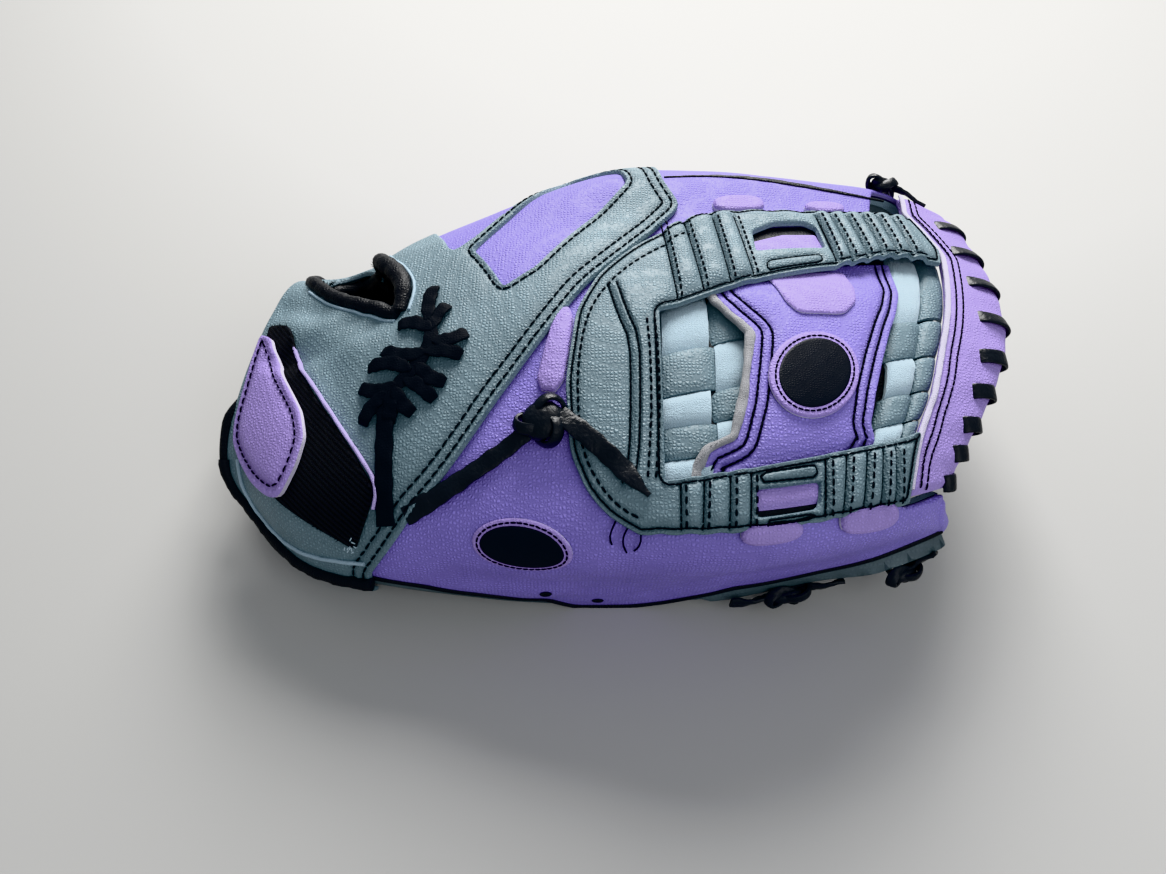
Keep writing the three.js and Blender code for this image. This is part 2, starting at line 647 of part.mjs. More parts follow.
// Web
add('web_frame', webFrame(), GREY);
add('rail_insert_near', railInsert(2.175, 5, 5.5, -SHELL, 0), LILAC);
add('rail_insert_far', railInsert(3.79, 5.32, 5.9, -SHELL, 0), LILAC);
add('web_panel', webPanel(), PURPLE);
const PANEL_FLAP = [[5.3, 3.24], [5.62, 3.06], [6.08, 3.06], [6.2, 3.2], [6.16, 3.36], [5.5, 3.3]];
add('web_panel_flap', pad(PANEL_FLAP, GAP, LACE), LILAC);
add('web_patch', pad(oval(5.56, 2.7, 20, 16, 0.75), GAP, GAP + LACE), BLACK);
add('weave_strap_1', weaveStrap(2.82, 2.97, 0.2), GREY);
add('weave_strap_2', weaveStrap(2.5, 2.55, 0.15), GREY);
add('weave_cross_left', weaveCross(4.66, 4.98, 2.38, 3.1), GREY);
add('weave_cross_right', weaveCross(6.62, 6.9, 2.5, 3.4), GREY);
add('weave_felt', weaveFelt(), FELT);
add('web_tip_binding', webTipBinding(), LILAC);
[2.14, 2.36, 2.56, 2.76, 2.98, 3.22, 3.5, 3.8, 4.14].forEach((v, k) => {
  add(`edge_lace_${k + 1}`, edgeLace(v), BLACK);
});

// Lilac loops beside the rails and the base
const loop = (u, v, half, tall, low) => pad(oval(u, v, half, tall, 0, 10), low, low + LACE, 1);
const CROTCH_TAB = [[3.42, 3.12], [3.5, 3.12], [3.45, 2.74], [3.26, 2.74], [3.33, 3]];
add('web_loop_1', loop(5.02, 1.93, 9, 2.9, GAP), LILAC);
add('web_loop_2', loop(5.9, 1.92, 10, 2.6, ON_SHELL), LILAC);
add('web_loop_3', loop(5.25, 4.14, 10, 2.4, ON_SHELL), LILAC);
add('web_loop_4', loop(6.1, 4.14, 8, 2.2, ON_SHELL), LILAC);
add('crotch_tab', pad(CROTCH_TAB, ON_SHELL, ON_SHELL + LACE, 1), LILAC);
add('thumb_patch', pad(oval(3.14, 1.8, 19, 12, -0.05), ON_SHELL, ON_SHELL + LACE), BLACK);

// Lacing over the dart: flat crossings, each a leaf from one side of the slit to the other
const DART = [[2.24, 3.56], [2.19, 3.38], [2.12, 3.2], [2.06, 3.02], [1.99, 2.86], [1.93, 2.72]];
const DART_REACH = [0.2, 0.3, 0.36, 0.36, 0.32, 0.26];
const dartLeaf = ([u, v], k) => {
  const reach = DART_REACH[k];
  const rise = 0.16;
  const places = [[u - reach, v + rise / 2], [u, v], [u + reach, v + rise]];
  return strap(places, LACE_WIDTH, ON_PANEL, ON_PANEL + LACE, 5);
};
const dartSpine = strap([DART[0], DART[3], DART[5]], LACE_WIDTH, ON_PANEL, ON_PANEL + LACE + GAP, 8);
add('dart_lacing', joined([dartSpine, ...DART.map(dartLeaf)]), BLACK);

// Laces and their knots
const DART_END = [[1.94, 2.6], [2.02, 2.3], [2.1, 1.96]];
const CROTCH_LACE = [[2.42, 2.12], [2.75, 2.3], [3.04, 2.46]];
const CROTCH_TAIL = [[3.6, 2.53], [3.86, 2.42], [4.14, 2.25]];
add('dart_lace_end', strap(DART_END, LACE_WIDTH, ON_PANEL, ON_PANEL + LACE), BLACK);
add('crotch_lace', strap(CROTCH_LACE, LACE_WIDTH, ON_SHELL, ON_SHELL + LACE), BLACK);
add('crotch_knot', knot(3.28, 2.58, [8.5, 8, 5.5]), BLACK);
add('crotch_tail', strap(CROTCH_TAIL, LACE_WIDTH + 1, ON_PANEL + GAP, ON_PANEL + LACE), BLACK);
add('index_knot', knot(7.2, 4.66, [7, 5, 4], GAP), BLACK);
add('thumb_tip_knot', knot(7.1, 0.5, [8, 5, 4]), BLACK);
add('thumb_edge_knot', knot(5.5, 0.22, [10, 5, 4]), BLACK);
[LINE.index, LINE.middle, LINE.ring].forEach((seam, k) => {
  const places = [[7.1, seam - 0.22], [7.12, seam], [7.1, seam + 0.22]];
  add(`finger_lace_${k + 1}`, strap(places, LACE_WIDTH, ON_SHELL, ON_SHELL + LACE, 6), BLACK);
});

// The origin is the middle of the bounding box's bottom
const box = new THREE.Box3().setFromObject(part);
const centre = box.getCenter(new THREE.Vector3());
part.position.set(-centre.x, -centre.y, -box.min.z);
part.updateMatrixWorld(true);

export default part;
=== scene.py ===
import math

import bpy
import numpy as np
from mathutils import Matrix, Vector
from mathutils.geometry import delaunay_2d_cdt


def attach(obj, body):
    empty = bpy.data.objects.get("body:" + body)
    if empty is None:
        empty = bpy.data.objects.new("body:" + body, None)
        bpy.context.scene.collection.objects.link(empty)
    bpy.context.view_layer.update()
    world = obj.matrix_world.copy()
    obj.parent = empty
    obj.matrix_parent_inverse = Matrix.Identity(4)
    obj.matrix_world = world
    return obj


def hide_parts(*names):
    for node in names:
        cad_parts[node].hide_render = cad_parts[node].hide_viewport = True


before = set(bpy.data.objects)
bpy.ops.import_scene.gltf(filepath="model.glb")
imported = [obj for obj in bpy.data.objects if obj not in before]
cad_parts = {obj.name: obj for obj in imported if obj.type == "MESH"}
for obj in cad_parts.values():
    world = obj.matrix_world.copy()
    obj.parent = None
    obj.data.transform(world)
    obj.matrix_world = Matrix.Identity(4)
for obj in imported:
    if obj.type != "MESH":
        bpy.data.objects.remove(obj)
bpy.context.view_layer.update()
rng = np.random.default_rng(7)

# Millimetres in this file. SHIFT moves the section table's frame to the part's frame.
MM = 0.001
SHIFT = np.array([2.6356, -8.7401, 0.0])

# Gaps and thicknesses, then the heights over the skin of what lies on what
GAP, LAYER, SHELL, PANEL, PALM, LACE, LACE_WIDTH = 0.3, 0.8, 2.5, 2.3, 4.0, 2.0, 5.2
ON_SHELL = LAYER
ON_PANEL = ON_SHELL + PANEL + LAYER
ON_PATCH = ON_PANEL + LACE + LAYER
PANEL_TOP = ON_SHELL + PANEL
WEB_TOP = ON_SHELL + SHELL
TAB_TOP = ON_PATCH + SHELL
PATCH_TOP = ON_PANEL + LACE
SEAM_WIDTH, THREAD_HEIGHT = 1.3, 0.7
# On the skin, in stations and lines: the shell under the band, the web short of its roll, the grey leather
# beside the thumb's seam, and where the palm starts and parts into its stalls
UNDER_BAND, WEB_SLACK, BESIDE_SEAM, PALM_START, CROTCH = 0.25, 0.024, 0.012, 0.05, 3.9
# About how many mm one station and one line take up, and the step over which slopes are measured
CELL = np.array([34, 40])
NEARBY = 0.02
HAND_DEPTH, THUMB_DEPTH, FINGER_DEPTH, FINGER_SWELL = 23.0, 24.0, 19.0, 5.5
THUMB_EDGE, INDEX_EDGE, TIP = 2.13, 3.86, 8.0

# Sections of the skin: x, how much the wrist and the tip reaches count, then y and z of the nine lines
SECTIONS = [
    (-140, 1, 0, [-71, 9, -54, 19, -38, 30, -8, 46, 34, 56, 52, 47, 60, 28, 52, 10, 22, 5]),
    (-120, 0.4, 0, [-79, 4, -83, 23, -66, 47, -16, 62, 28, 66, 46, 57, 66, 34, 62, 9, 28, 4.5]),
    (-90, 0.08, 0, [-86, 1, -94, 27, -78, 56, -20, 75, 34, 76, 60, 65, 80, 38, 74, 8, 34, 4]),
    (-45, 0, 0, [-91, 0, -98, 30, -89, 64, -24, 87, 42, 87, 78, 74, 96, 42, 88, 4, 40, 0]),
    (0, 0, 0, [-92, 0, -98, 34, -95, 70, -24, 92, 46, 90, 98, 75, 112, 44, 100, 4, 42, 0]),
    (46, 0, 0, [-88, 2, -96, 36, -96, 75, -18, 93, 57, 87, 102, 73, 117, 44, 103, 4, 42, 0]),
    (90, 0, 0.12, [-79, 8, -89, 38, -86, 72, -12, 89, 62, 83, 101, 68, 113, 42, 98, 5, 42, 0]),
    (112, 0, 0.42, [-74, 14, -83, 38, -78, 67, -6, 82, 66, 78, 96, 64, 104, 40, 92, 9, 42, 2]),
    (127, 0, 1, [-69, 20, -76, 39, -70, 61, -2, 71, 70, 67, 88, 60, 92, 42, 84, 20, 46, 8]),
]
WRIST_REACH = np.array([-1, -17, -28, -24, -12, -4, 0, 2, 0.0])
TIP_REACH = np.array([1, 3, -1, 37, 36, 19, 13, 7, 3.0])
BAND_EDGE = [[0, 1.62], [1.2, 1.8], [2.04, 2.28], [2.72, 2.92], [3.42, 3.66], [3.87, 4.32], [4.12, 4.6],
             [4.4, 4.44], [4.9, 4.34], [5.2, 4.1], [5.45, 3], [5.7, 2.1], [8, 2]]
BASE_EDGE = [[2, 4.1], [2.1, 3.86], [2.24, 3.68], [2.45, 3.53], [2.8, 3.49], [3.24, 3.58], [3.5, 3.78],
             [3.72, 4.1], [3.92, 4.62], [4.0, 4.9]]
WEB_END = [[2, 6.6], [2.35, 6.75], [2.6, 7], [2.9, 7.1], [3.2, 7.24], [3.6, 7.42], [4.1, 7.2], [4.5, 7.3]]
NEAR_RAIL_INSIDE = [[4.2, 2.29], [5.2, 2.34], [6.6, 2.4], [6.9, 2.44]]
FAR_RAIL_INSIDE = [[4.3, 3.17], [5.16, 3.32], [5.86, 3.42], [6.6, 3.5], [7.4, 3.5]]
PANEL_LEFT = [[4.56, 2.24], [4.58, 2.35], [4.66, 2.43], [4.88, 2.47], [4.98, 2.64], [5.05, 2.84],
              [5.09, 2.98], [4.95, 3.1], [4.83, 3.22], [4.76, 3.36], [4.7, 3.5]]
PANEL_RIGHT = [[5.9, 2.24], [6.0, 2.34], [6.08, 2.4], [6.01, 2.48], [6.07, 2.62], [6.2, 2.8], [6.36, 2.98],
               [6.5, 3.1], [6.62, 3.24], [6.64, 3.5]]
BAND_WINDOW = [[2.62, 3.9], [3.5, 4.96], [4.02, 4.62], [4.08, 4.42], [3.2, 3.6], [2.92, 3.47]]
FINGER_HOLE = [[1.9, 3.46], [1.3, 3.7], [0.85, 3.98], [0.3, 4.42], [0.18, 4.9], [0.42, 5.4], [0.95, 5.5],
               [1.3, 5.1], [1.44, 4.6], [1.58, 4.16], [1.8, 3.88], [1.93, 3.64]]
RAIL_SLOTS = [[[5.0, 2.075], [5.0, 2.225], [5.49, 2.225], [5.47, 2.08]],
              [[5.22, 3.55], [5.22, 3.73], [5.42, 3.81], [5.7, 3.83], [5.8, 3.78], [5.83, 3.58]]]
LOOP_PATCH = [[0.2, 3.52], [0.6, 3.46], [0.72, 3.34], [0.84, 3.07], [1.12, 2.82], [1.72, 2.36],
              [1.94, 2.16], [1.9, 2.0], [1.74, 1.6], [1.5, 1.7], [0.86, 1.92], [0.5, 2.4]]
STRAP_TAB = [[0.24, 3.38], [0.46, 3.32], [0.75, 2.96], [1.12, 2.62], [1.2, 2.45], [1.15, 2.26], [1.0, 1.98],
             [0.87, 1.94], [0.64, 2.0], [0.44, 2.14], [0.3, 2.3], [0.26, 2.5], [0.26, 2.9], [0.24, 3.2]]
THUMB_LOW = [[1.37, 1.0], [1.74, 1.0], [2.02, 0.93], [2.42, 0.82], [2.8, 0.68], [3.17, 0.44], [3.5, 0.1],
             [3.6, 0], [4.15, 0], [4.4, 0.1], [4.7, 0.28], [5.0, 0.42], [5.4, 0.5], [5.9, 0.62], [6.3, 0.76],
             [6.9, 0.88], [7.4, 0.98], [8, 1.02]]


# The shared skin
def control_grid():
    """The sections' points, with one more row and column on every side for the spline."""
    inner = np.array([[(x + WRIST_REACH[k] * wrist + TIP_REACH[k] * tip, yz[2 * k], yz[2 * k + 1])
                       for k in range(9)] for x, wrist, tip, yz in SECTIONS])
    grid = np.zeros((11, 11, 3))
    grid[1:-1, 1:-1] = inner
    for axis in (0, 1):
        g = np.swapaxes(grid, 0, axis)
        g[0] = 2 * g[1] - g[2]
        g[-1] = 2 * g[-2] - g[-3]
    return grid


GRID = control_grid()


def smooth(a, b, x):
    """0 at a, 1 at b and an easy slope between. With b under a it falls."""
    t = np.clip((x - a) / (b - a), 0, 1)
    return t * t * (3 - 2 * t)


def unit(a):
    """Vectors at length 1."""
    return a / np.maximum(np.linalg.norm(a, axis=-1, keepdims=True), 1e-9)


def spans(at):
    """The spline's cell and its four weights."""
    i = np.clip(np.floor(at).astype(int), 0, 7)
    f = at - i
    return i, np.stack([-f + 2 * f * f - f ** 3, 2 - 5 * f * f + 3 * f ** 3,
                        f + 4 * f * f - 3 * f ** 3, -f * f + f ** 3], -1) / 2


def bare(u, v):
    """The surface without the fingers' swell."""
    u, v = np.broadcast_arrays(np.asarray(u, float), np.asarray(v, float))
    i, a = spans(u)
    j, b = spans(v)
    out = np.zeros(u.shape + (3,))
    for m in range(4):
        for n in range(4):
            out += (a[..., m] * b[..., n])[..., None] * GRID[i + m, j + n]
    return out


def normal_of(surface, u, v):
    """A surface's outward normal."""
    along = surface(u + NEARBY, v) - surface(u - NEARBY, v)
    around = surface(u, v + NEARBY) - surface(u, v - NEARBY)
    return unit(np.cross(along, around))


def skin(u, v):
    """The shell's outer surface in mm, with the fingers' swell and nothing under the floor."""
    u, v = np.broadcast_arrays(np.asarray(u, float), np.asarray(v, float))
    across = np.sin(np.pi * (v - np.floor(np.minimum(v, TIP - 1e-6)))) ** 2
    out = FINGER_SWELL * across * smooth(2.2, 4.2, u) * smooth(TIP, TIP - 0.9, u) * (v > 4)
    point = bare(u, v) + normal_of(bare, u, v) * out[..., None]
    point[..., 2] = np.maximum(point[..., 2], 0)
    return point


def normal(u, v):
    """The skin's outward normal."""
    return normal_of(skin, u, v)


# Soft creases of the leather, as (u, v) to (u, v), half width in mm and depth in mm
CREASES = [
    ((0.5, 3.55), (1.5, 3.2), 7, 2.2), ((0.7, 3.05), (1.9, 3.42), 4, -2.4), ((1.0, 3.0), (1.3, 2.7), 4, 1.2),
    ((0.2, 3.75), (0.9, 3.6), 5, -1.6), ((2.75, 3.3), (3.4, 2.3), 9, -0.9),
    ((2.6, 1.2), (3.6, 0.9), 10, -1.3), ((4.3, 0.5), (4.9, 1.1), 7, -1.2), ((5.0, 0.55), (5.3, 1.2), 6, -0.9),
    ((3.3, 0.3), (4.0, 0.8), 8, -1.0), ((4.2, 1.2), (5.6, 1.5), 12, 0.8), ((5.8, 0.9), (6.9, 1.3), 10, -0.9),
    ((1.2, 0.7), (2.2, 0.9), 8, -1.0), ((2.2, 4.4), (2.6, 4.9), 6, -0.9), ((1.4, 5.6), (1.5, 7.0), 9, -1.0),
    ((0.6, 4.8), (1.1, 4.8), 14, -12.0), ((0.5, 3.1), (1.6, 3.5), 2.2, -0.9),
    ((0.6, 2.95), (1.5, 3.3), 1.8, 0.6), ((0.9, 3.3), (1.5, 3.45), 1.8, -0.7),
]


def fold(u, v):
    """Height that the soft folds add to every layer, in mm."""
    u, v = np.broadcast_arrays(np.asarray(u, float), np.asarray(v, float))
    out = 0.35 * np.sin(3.1 * u + 1.7 * v) * np.sin(2.3 * v - 1.1 * u + 0.7)
    at = np.stack([u, v], -1) * CELL
    for a, b, width, depth in CREASES:
        a, b = np.array(a) * CELL, np.array(b) * CELL
        t = np.clip(((at - a) @ (b - a)) / ((b - a) @ (b - a)), 0, 1)
        d = np.linalg.norm(at - a - t[..., None] * (b - a), axis=-1)
        out = out + depth * np.exp(-(d / width) ** 2)
    return out


def lift(u, v, height):
    """Points over the skin by a height in mm, folds and all."""
    point = skin(u, v) + normal(u, v) * (np.asarray(height, float) + fold(u, v))[..., None]
    point[..., 2] = np.maximum(point[..., 2], 0)
    return point


def read(rows, at):
    """Looks a value up in a table of pairs."""
    rows = np.array(rows, float)
    return np.interp(at, rows[:, 0], rows[:, 1])


def drawn(u, v):
    """Where a straight line v runs once the stalls are drawn in at the crotch and the tip."""
    u, v = np.broadcast_arrays(np.asarray(u, float), np.asarray(v, float))
    start = INDEX_EDGE + 0.68 * smooth(6.5, 7, u)
    index = start + (v - INDEX_EDGE) * (5 - start) / (5 - INDEX_EDGE)
    thumb = v * (1 - 0.085 * smooth(6.2, 6.6, u))
    return np.where(v <= THUMB_EDGE, thumb, np.where((v >= INDEX_EDGE) & (v < 5), index, v))


def slide(u, v, move):
    """The place reached by a small move in mm along the skin."""
    su = (skin(u + NEARBY, v) - skin(u - NEARBY, v)) / (2 * NEARBY)
    sv = (skin(u, v + NEARBY) - skin(u, v - NEARBY)) / (2 * NEARBY)
    a, b, c = (su * su).sum(-1), (su * sv).sum(-1), (sv * sv).sum(-1)
    p, q = (su * move).sum(-1), (sv * move).sum(-1)
    det = a * c - b * b
    return np.stack([u + (p * c - q * b) / det, v + (q * a - p * b) / det], -1)


def hollow(u, v):
    """How far the palm lies below the shell: the room for the hand and for each finger."""
    hand = HAND_DEPTH * np.sin(np.pi * np.clip(v / TIP, 0, 1)) ** 0.55
    stall = np.where(v < THUMB_EDGE, THUMB_DEPTH * np.abs(np.sin(np.pi * v / THUMB_EDGE)) ** 1.1, 0)
    stall = np.where(v > 4, FINGER_DEPTH * np.sin(np.pi * (v - np.floor(v))) ** 2, stall)
    split = smooth(2.7, 4, u)
    return (hand * (1 - split) + stall * split) * smooth(TIP, TIP - 1.3, u)


def easy_normal(u, v):
    """The normal averaged over a wide stretch across the stalls."""
    return unit(sum(normal_of(bare, u, np.clip(v + s, 0, TIP)) for s in (-0.7, -0.35, 0, 0.35, 0.7)))


def palm_face(u, line, depth):
    """The palm's surface at a depth under its outer face."""
    v = drawn(u, line)
    point = skin(u, v) + normal(u, v) * (-SHELL - LAYER)
    point = point - easy_normal(u, v) * (hollow(u, line) + depth)[..., None]
    point[..., 2] = np.maximum(point[..., 2], 0)
    return point


# Paths on the skin
def resample(path, step, closed=False):
    """A path in even steps of about so many mm on the skin."""
    pts = np.array(path, float)
    if closed:
        pts = np.vstack([pts, pts[:1]])
    dense = np.concatenate([np.linspace(a, b, 9)[:-1] for a, b in zip(pts[:-1], pts[1:])] + [pts[-1:]])
    run = np.concatenate([[0], np.cumsum(np.linalg.norm(np.diff(skin(*dense.T), axis=0), axis=1))])
    at = np.linspace(0, run[-1], max(2, int(round(run[-1] / step))) + 1)
    out = np.stack([np.interp(at, run, dense[:, k]) for k in (0, 1)], 1)
    return out[:-1] if closed else out


def eased(path, times=2, closed=False):
    """Rounds a path's corners."""
    p = np.array(path, float)
    for _ in range(times):
        q = np.vstack([p, p[:1]]) if closed else p
        a, b = q[:-1], q[1:]
        cut = np.stack([0.75 * a + 0.25 * b, 0.25 * a + 0.75 * b], 1).reshape(-1, p.shape[1])
        p = cut if closed else np.vstack([p[:1], cut[1:-1], p[-1:]])
    return p


def cornered(path, step=2.0, closed=True):
    """Rounds only the corners themselves."""
    return eased(resample(path, step, closed), 2, closed)


def inward(outline):
    """The outline run in the direction that has its inside on the side towards which offset moves."""
    p = np.array(outline, float)
    q = np.roll(p, -1, 0)
    return p if (p[:, 0] * q[:, 1] - q[:, 0] * p[:, 1]).sum() > 0 else p[::-1]


def offset(path, distance, closed=False):
    """Moves a path sideways on the skin: towards +v where it runs along +u, or into a closed outline."""
    p = np.array(path, float)
    ahead, back = np.roll(p, -1, 0), np.roll(p, 1, 0)
    if not closed:
        ahead[-1], back[0] = p[-1], p[0]
    side = unit(np.cross(normal(*p.T), unit(skin(*ahead.T) - skin(*back.T))))
    return slide(p[:, 0], p[:, 1], side * distance)


def axes_at(u, v):
    """The skin's normal at a place, and its directions along and across the stalls."""
    up = normal(np.array(u), np.array(v))
    along = skin(u + 0.05, v) - skin(u - 0.05, v)
    along = unit(along - up * (along @ up))
    return up, along, np.cross(up, along)


def oval(u, v, half, tall, turn, count=48, power=2.0):
    """A closed outline round a place. A higher power makes its corners squarer."""
    _, along, across = axes_at(u, v)
    t = np.linspace(0, 2 * np.pi, count, endpoint=False)
    a = half * np.sign(np.cos(t)) * np.abs(np.cos(t)) ** (2 / power)
    b = tall * np.sign(np.sin(t)) * np.abs(np.sin(t)) ** (2 / power)
    x, y = a * math.cos(turn) - b * math.sin(turn), a * math.sin(turn) + b * math.cos(turn)
    move = x[:, None] * along + y[:, None] * across
    # The skin curves, so the step is walked in four parts
    places = np.tile([u, v], (count, 1)).astype(float)
    for _ in range(4):
        here = normal(*places.T)
        flat = move / 4 - here * ((move / 4) * here).sum(-1, keepdims=True)
        places = slide(places[:, 0], places[:, 1], flat)
    return places


def gap_to(points, path, closed=False):
    """Distance from each point to a polyline, in any number of dimensions."""
    a = path if closed else path[:-1]
    b = np.roll(path, -1, 0) if closed else path[1:]
    d = b - a
    dd = np.maximum((d * d).sum(-1), 1e-12)
    out = np.empty(len(points))
    for k in range(0, len(points), 1500):
        p = points[k:k + 1500, None]
        t = np.clip(((p - a) * d).sum(-1) / dd, 0, 1)
        out[k:k + 1500] = np.sqrt((((p - a) - t[..., None] * d) ** 2).sum(-1).min(1))
    return out


def inside(points, outline):
    """Whether each flat point is inside a closed outline."""
    x, y = points[:, :1], points[:, 1:]
    a, b = outline, np.roll(outline, -1, 0)
    with np.errstate(divide="ignore", invalid="ignore"):
        cross = (b[:, 0] - a[:, 0]) * (y - a[:, 1]) / (b[:, 1] - a[:, 1]) + a[:, 0]
    return ((((a[:, 1] > y) != (b[:, 1] > y)) & (x < cross)).sum(1) % 2) == 1


# Meshes
# The slot that goes with each look, filled in as the looks are made
SLOTS = {}


def make(name, verts, faces, looks, nodes=(), slot=None, kinds=None, marks=None, angle=42):
    """A piece on the root body. A slot is worked out from its first look unless another is given, and is not
    used.
    """
    slot = slot or SLOTS[looks[0].name]
    mesh = bpy.data.meshes.new(name)
    places = (np.asarray(verts, float) + SHIFT) * MM
    places[:, 2] = np.maximum(places[:, 2], 0)
    mesh.from_pydata(places.tolist(), [], [list(map(int, f)) for f in faces])
    mesh.validate()
    for look in looks:
        mesh.materials.append(look)
    if kinds is not None:
        mesh.polygons.foreach_set("material_index", np.asarray(kinds, np.int32))
    mesh.polygons.foreach_set("use_smooth", np.ones(len(mesh.polygons), bool))
    for key, values in (marks or {}).items():
        mesh.attributes.new(key, "FLOAT", "POINT").data.foreach_set("value", np.asarray(values, np.float32))
    mesh.set_sharp_from_angle(angle=math.radians(angle))
    piece = bpy.data.objects.new(name, mesh)
    bpy.context.scene.collection.objects.link(piece)
    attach(piece, "root")
    if nodes:
        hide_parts(*nodes)
    return piece


def within(points, loops):
    """Whether each point is inside the first loop and outside all others."""
    ok = inside(points, loops[0])
    for hole in loops[1:]:
        ok &= ~inside(points, hole)
    return ok


def thinned(grid, taken, size):
    """The grid's points that keep clear of the points taken already."""
    cells = {}
    for p in taken:
        cells.setdefault((int(p[0] // size), int(p[1] // size)), []).append(p)
    free = []
    for p in grid:
        cx, cy = int(p[0] // size), int(p[1] // size)
        close = [q for a in (-1, 0, 1) for b in (-1, 0, 1) for q in cells.get((cx + a, cy + b), ())]
        if not close or min((q[0] - p[0]) ** 2 + (q[1] - p[1]) ** 2 for q in close) > size * size * 0.8:
            free.append(p)
    return np.array(free).reshape(-1, 2)


def seeded(flat, lines, scale, step, rim):
    """A sheet's flat points: its loops, rows beside its rims and seams, and a grid between them."""
    low, high = flat[0].min(0), flat[0].max(0)
    rows = np.arange(low[1], high[1], step * 0.87)
    batches = [np.array([(x + (k % 2) * step / 2, y) for k, y in enumerate(rows)
                         for x in np.arange(low[0], high[0], step)])]
    for k, loop in enumerate(flat):
        run = unit(np.roll(loop, -1, 0) - np.roll(loop, 1, 0))
        out = np.stack([-run[:, 1], run[:, 0]], 1) * (-1 if k else 1)
        batches += [loop + out * rim * share for share in (0.3, 0.75, 1.3)]
    for line, closed, _, width in lines:
        for d in (-width * 1.5, -width * 0.7, 0, width * 0.7, width * 1.5):
            batches.append((offset(line, d, closed) if d else line) * scale)
    kept = []
    for k, batch in enumerate(batches):
        batch = batch[within(batch, flat)]
        near = np.min([gap_to(batch, loop, True) for loop in flat], 0)
        kept.append(batch[near > (rim * 0.24 if k else step * 0.6)])
    taken = np.concatenate(kept[1:])
    return np.concatenate(flat + [taken, thinned(kept[0], taken, step * 0.75)])


def cut(every, flat):
    """Joins the points inside the loops into triangles that all turn the same way."""
    edges, start = [], 0
    for loop in flat:
        count = len(loop)
        edges += [(start + k, start + (k + 1) % count) for k in range(count)]
        start += count
    found = delaunay_2d_cdt([Vector(p) for p in every], edges, [], 1, 1e-4)
    spots, tris = np.array([tuple(p) for p in found[0]]), np.array(found[2])
    tris = tris[within(spots[tris].mean(1), flat)]
    turn = spots[tris[:, 1]] - spots[tris[:, 0]]
    other = spots[tris[:, 2]] - spots[tris[:, 0]]
    flipped = turn[:, 0] * other[:, 1] - turn[:, 1] * other[:, 0] < 0
    tris[flipped] = tris[flipped][:, ::-1]
    used, tris = np.unique(tris, return_inverse=True)
    return spots[used], tris.reshape(-1, 3)


def sheet(name, outline, low, high, looks, nodes=(), holes=(), seams=(), relief=None, step=2.8, rim=1.4,
          groove=0.6, edge_share=0.45, bulge=0.0, bulge_reach=10.0, slot=None):
    """A leather piece cut to an outline on the skin, with rounded rims and pressed-in seams."""
    loops = [resample(inward(path), step * 0.8, True) for path in (outline, *holes)]
    u, v = np.concatenate(loops).T
    scale = np.array([
        np.linalg.norm(skin(u + .05, v) - skin(u - .05, v), axis=-1).mean() / 0.1,
        np.linalg.norm(skin(u, v + .05) - skin(u, v - .05), axis=-1).mean() / 0.1,
    ])
    lines = [(resample(seam, step * 0.7, closed), closed, *(own or (groove, SEAM_WIDTH)))
             for seam, closed, *own in seams]
    flat = [loop * scale for loop in loops]
    spots, tris = cut(seeded(flat, lines, scale, step, rim), flat)
    u, v = (spots / scale).T
    on_skin = skin(u, v)
    edge = np.min([gap_to(on_skin, skin(*loop.T), True) for loop in loops], 0)
    seam, pressed = np.full(len(u), 99.0), np.zeros(len(u))
    for line, closed, depth, width in lines:
        gap = gap_to(on_skin, skin(*line.T), closed)
        seam = np.minimum(seam, gap * SEAM_WIDTH / width)
        pressed = np.maximum(pressed, depth * np.exp(-(gap / width) ** 2))
    share = edge_share + (1 - edge_share) * np.sqrt(1 - (1 - np.clip(edge / rim, 0, 1)) ** 2)
    top = low + (high - low) * share
    top = top - pressed * smooth(0, 1.2, edge)
    top = top + bulge * smooth(0, bulge_reach, edge)
    lower = np.full(len(u), float(low))
    if relief is not None:
        rise = relief(u, v)
        top, lower = top + rise, lower + rise
    verts = np.concatenate([lift(u, v, top), lift(u, v, lower)])
    count = len(u)
    pairs = {pair: None for a, b, c in tris for pair in ((a, b), (b, c), (c, a))}
    sides = [(b, a, a + count, b + count) for a, b in pairs if (b, a) not in pairs]
    faces = list(tris) + list(tris[:, ::-1] + count) + sides
    kinds = [0] * len(tris) + [1] * (len(tris) + len(sides))
    # The seam mark tells the looks where to paint shade into the seams' grooves, and the rim mark where the
    # rims wear
    marks = {"rim": np.tile(np.clip(edge / 6, 0, 1), 2), "seam": np.tile(np.exp(-(seam / 1.8) ** 2), 2)}
    return make(name, verts, faces, looks, nodes, slot, kinds, marks)


def sweep(path, ups, width, thick, power=3.0, closed=False, sides=12):
    """A rounded strip along a path: verts and faces."""
    path = np.asarray(path, float)
    count = len(path)
    ahead, back = np.roll(path, -1, 0), np.roll(path, 1, 0)
    if not closed:
        ahead[-1], back[0] = path[-1], path[0]
    run = unit(ahead - back)
    up = unit(ups - run * (ups * run).sum(-1, keepdims=True))
    side = np.cross(run, up)
    t = np.linspace(0, 2 * np.pi, sides, endpoint=False) + np.pi / sides
    a = np.sign(np.cos(t)) * np.abs(np.cos(t)) ** (2 / power)
    b = np.sign(np.sin(t)) * np.abs(np.sin(t)) ** (2 / power)
    w = np.broadcast_to(np.asarray(width, float), (count,)) / 2
    h = np.broadcast_to(np.asarray(thick, float), (count,)) / 2
    verts = (path[:, None] + side[:, None] * (w[:, None] * a)[..., None]
             + up[:, None] * (h[:, None] * b)[..., None]).reshape(-1, 3)
    faces = []
    for i in range(count if closed else count - 1):
        n = (i + 1) % count
        for k in range(sides):
            m = (k + 1) % sides
            faces.append((i * sides + k, n * sides + k, n * sides + m, i * sides + m))
    if not closed:
        faces.append(tuple(range(sides)))
        faces.append(tuple((count - 1) * sides + k for k in reversed(range(sides))))
    return verts, faces


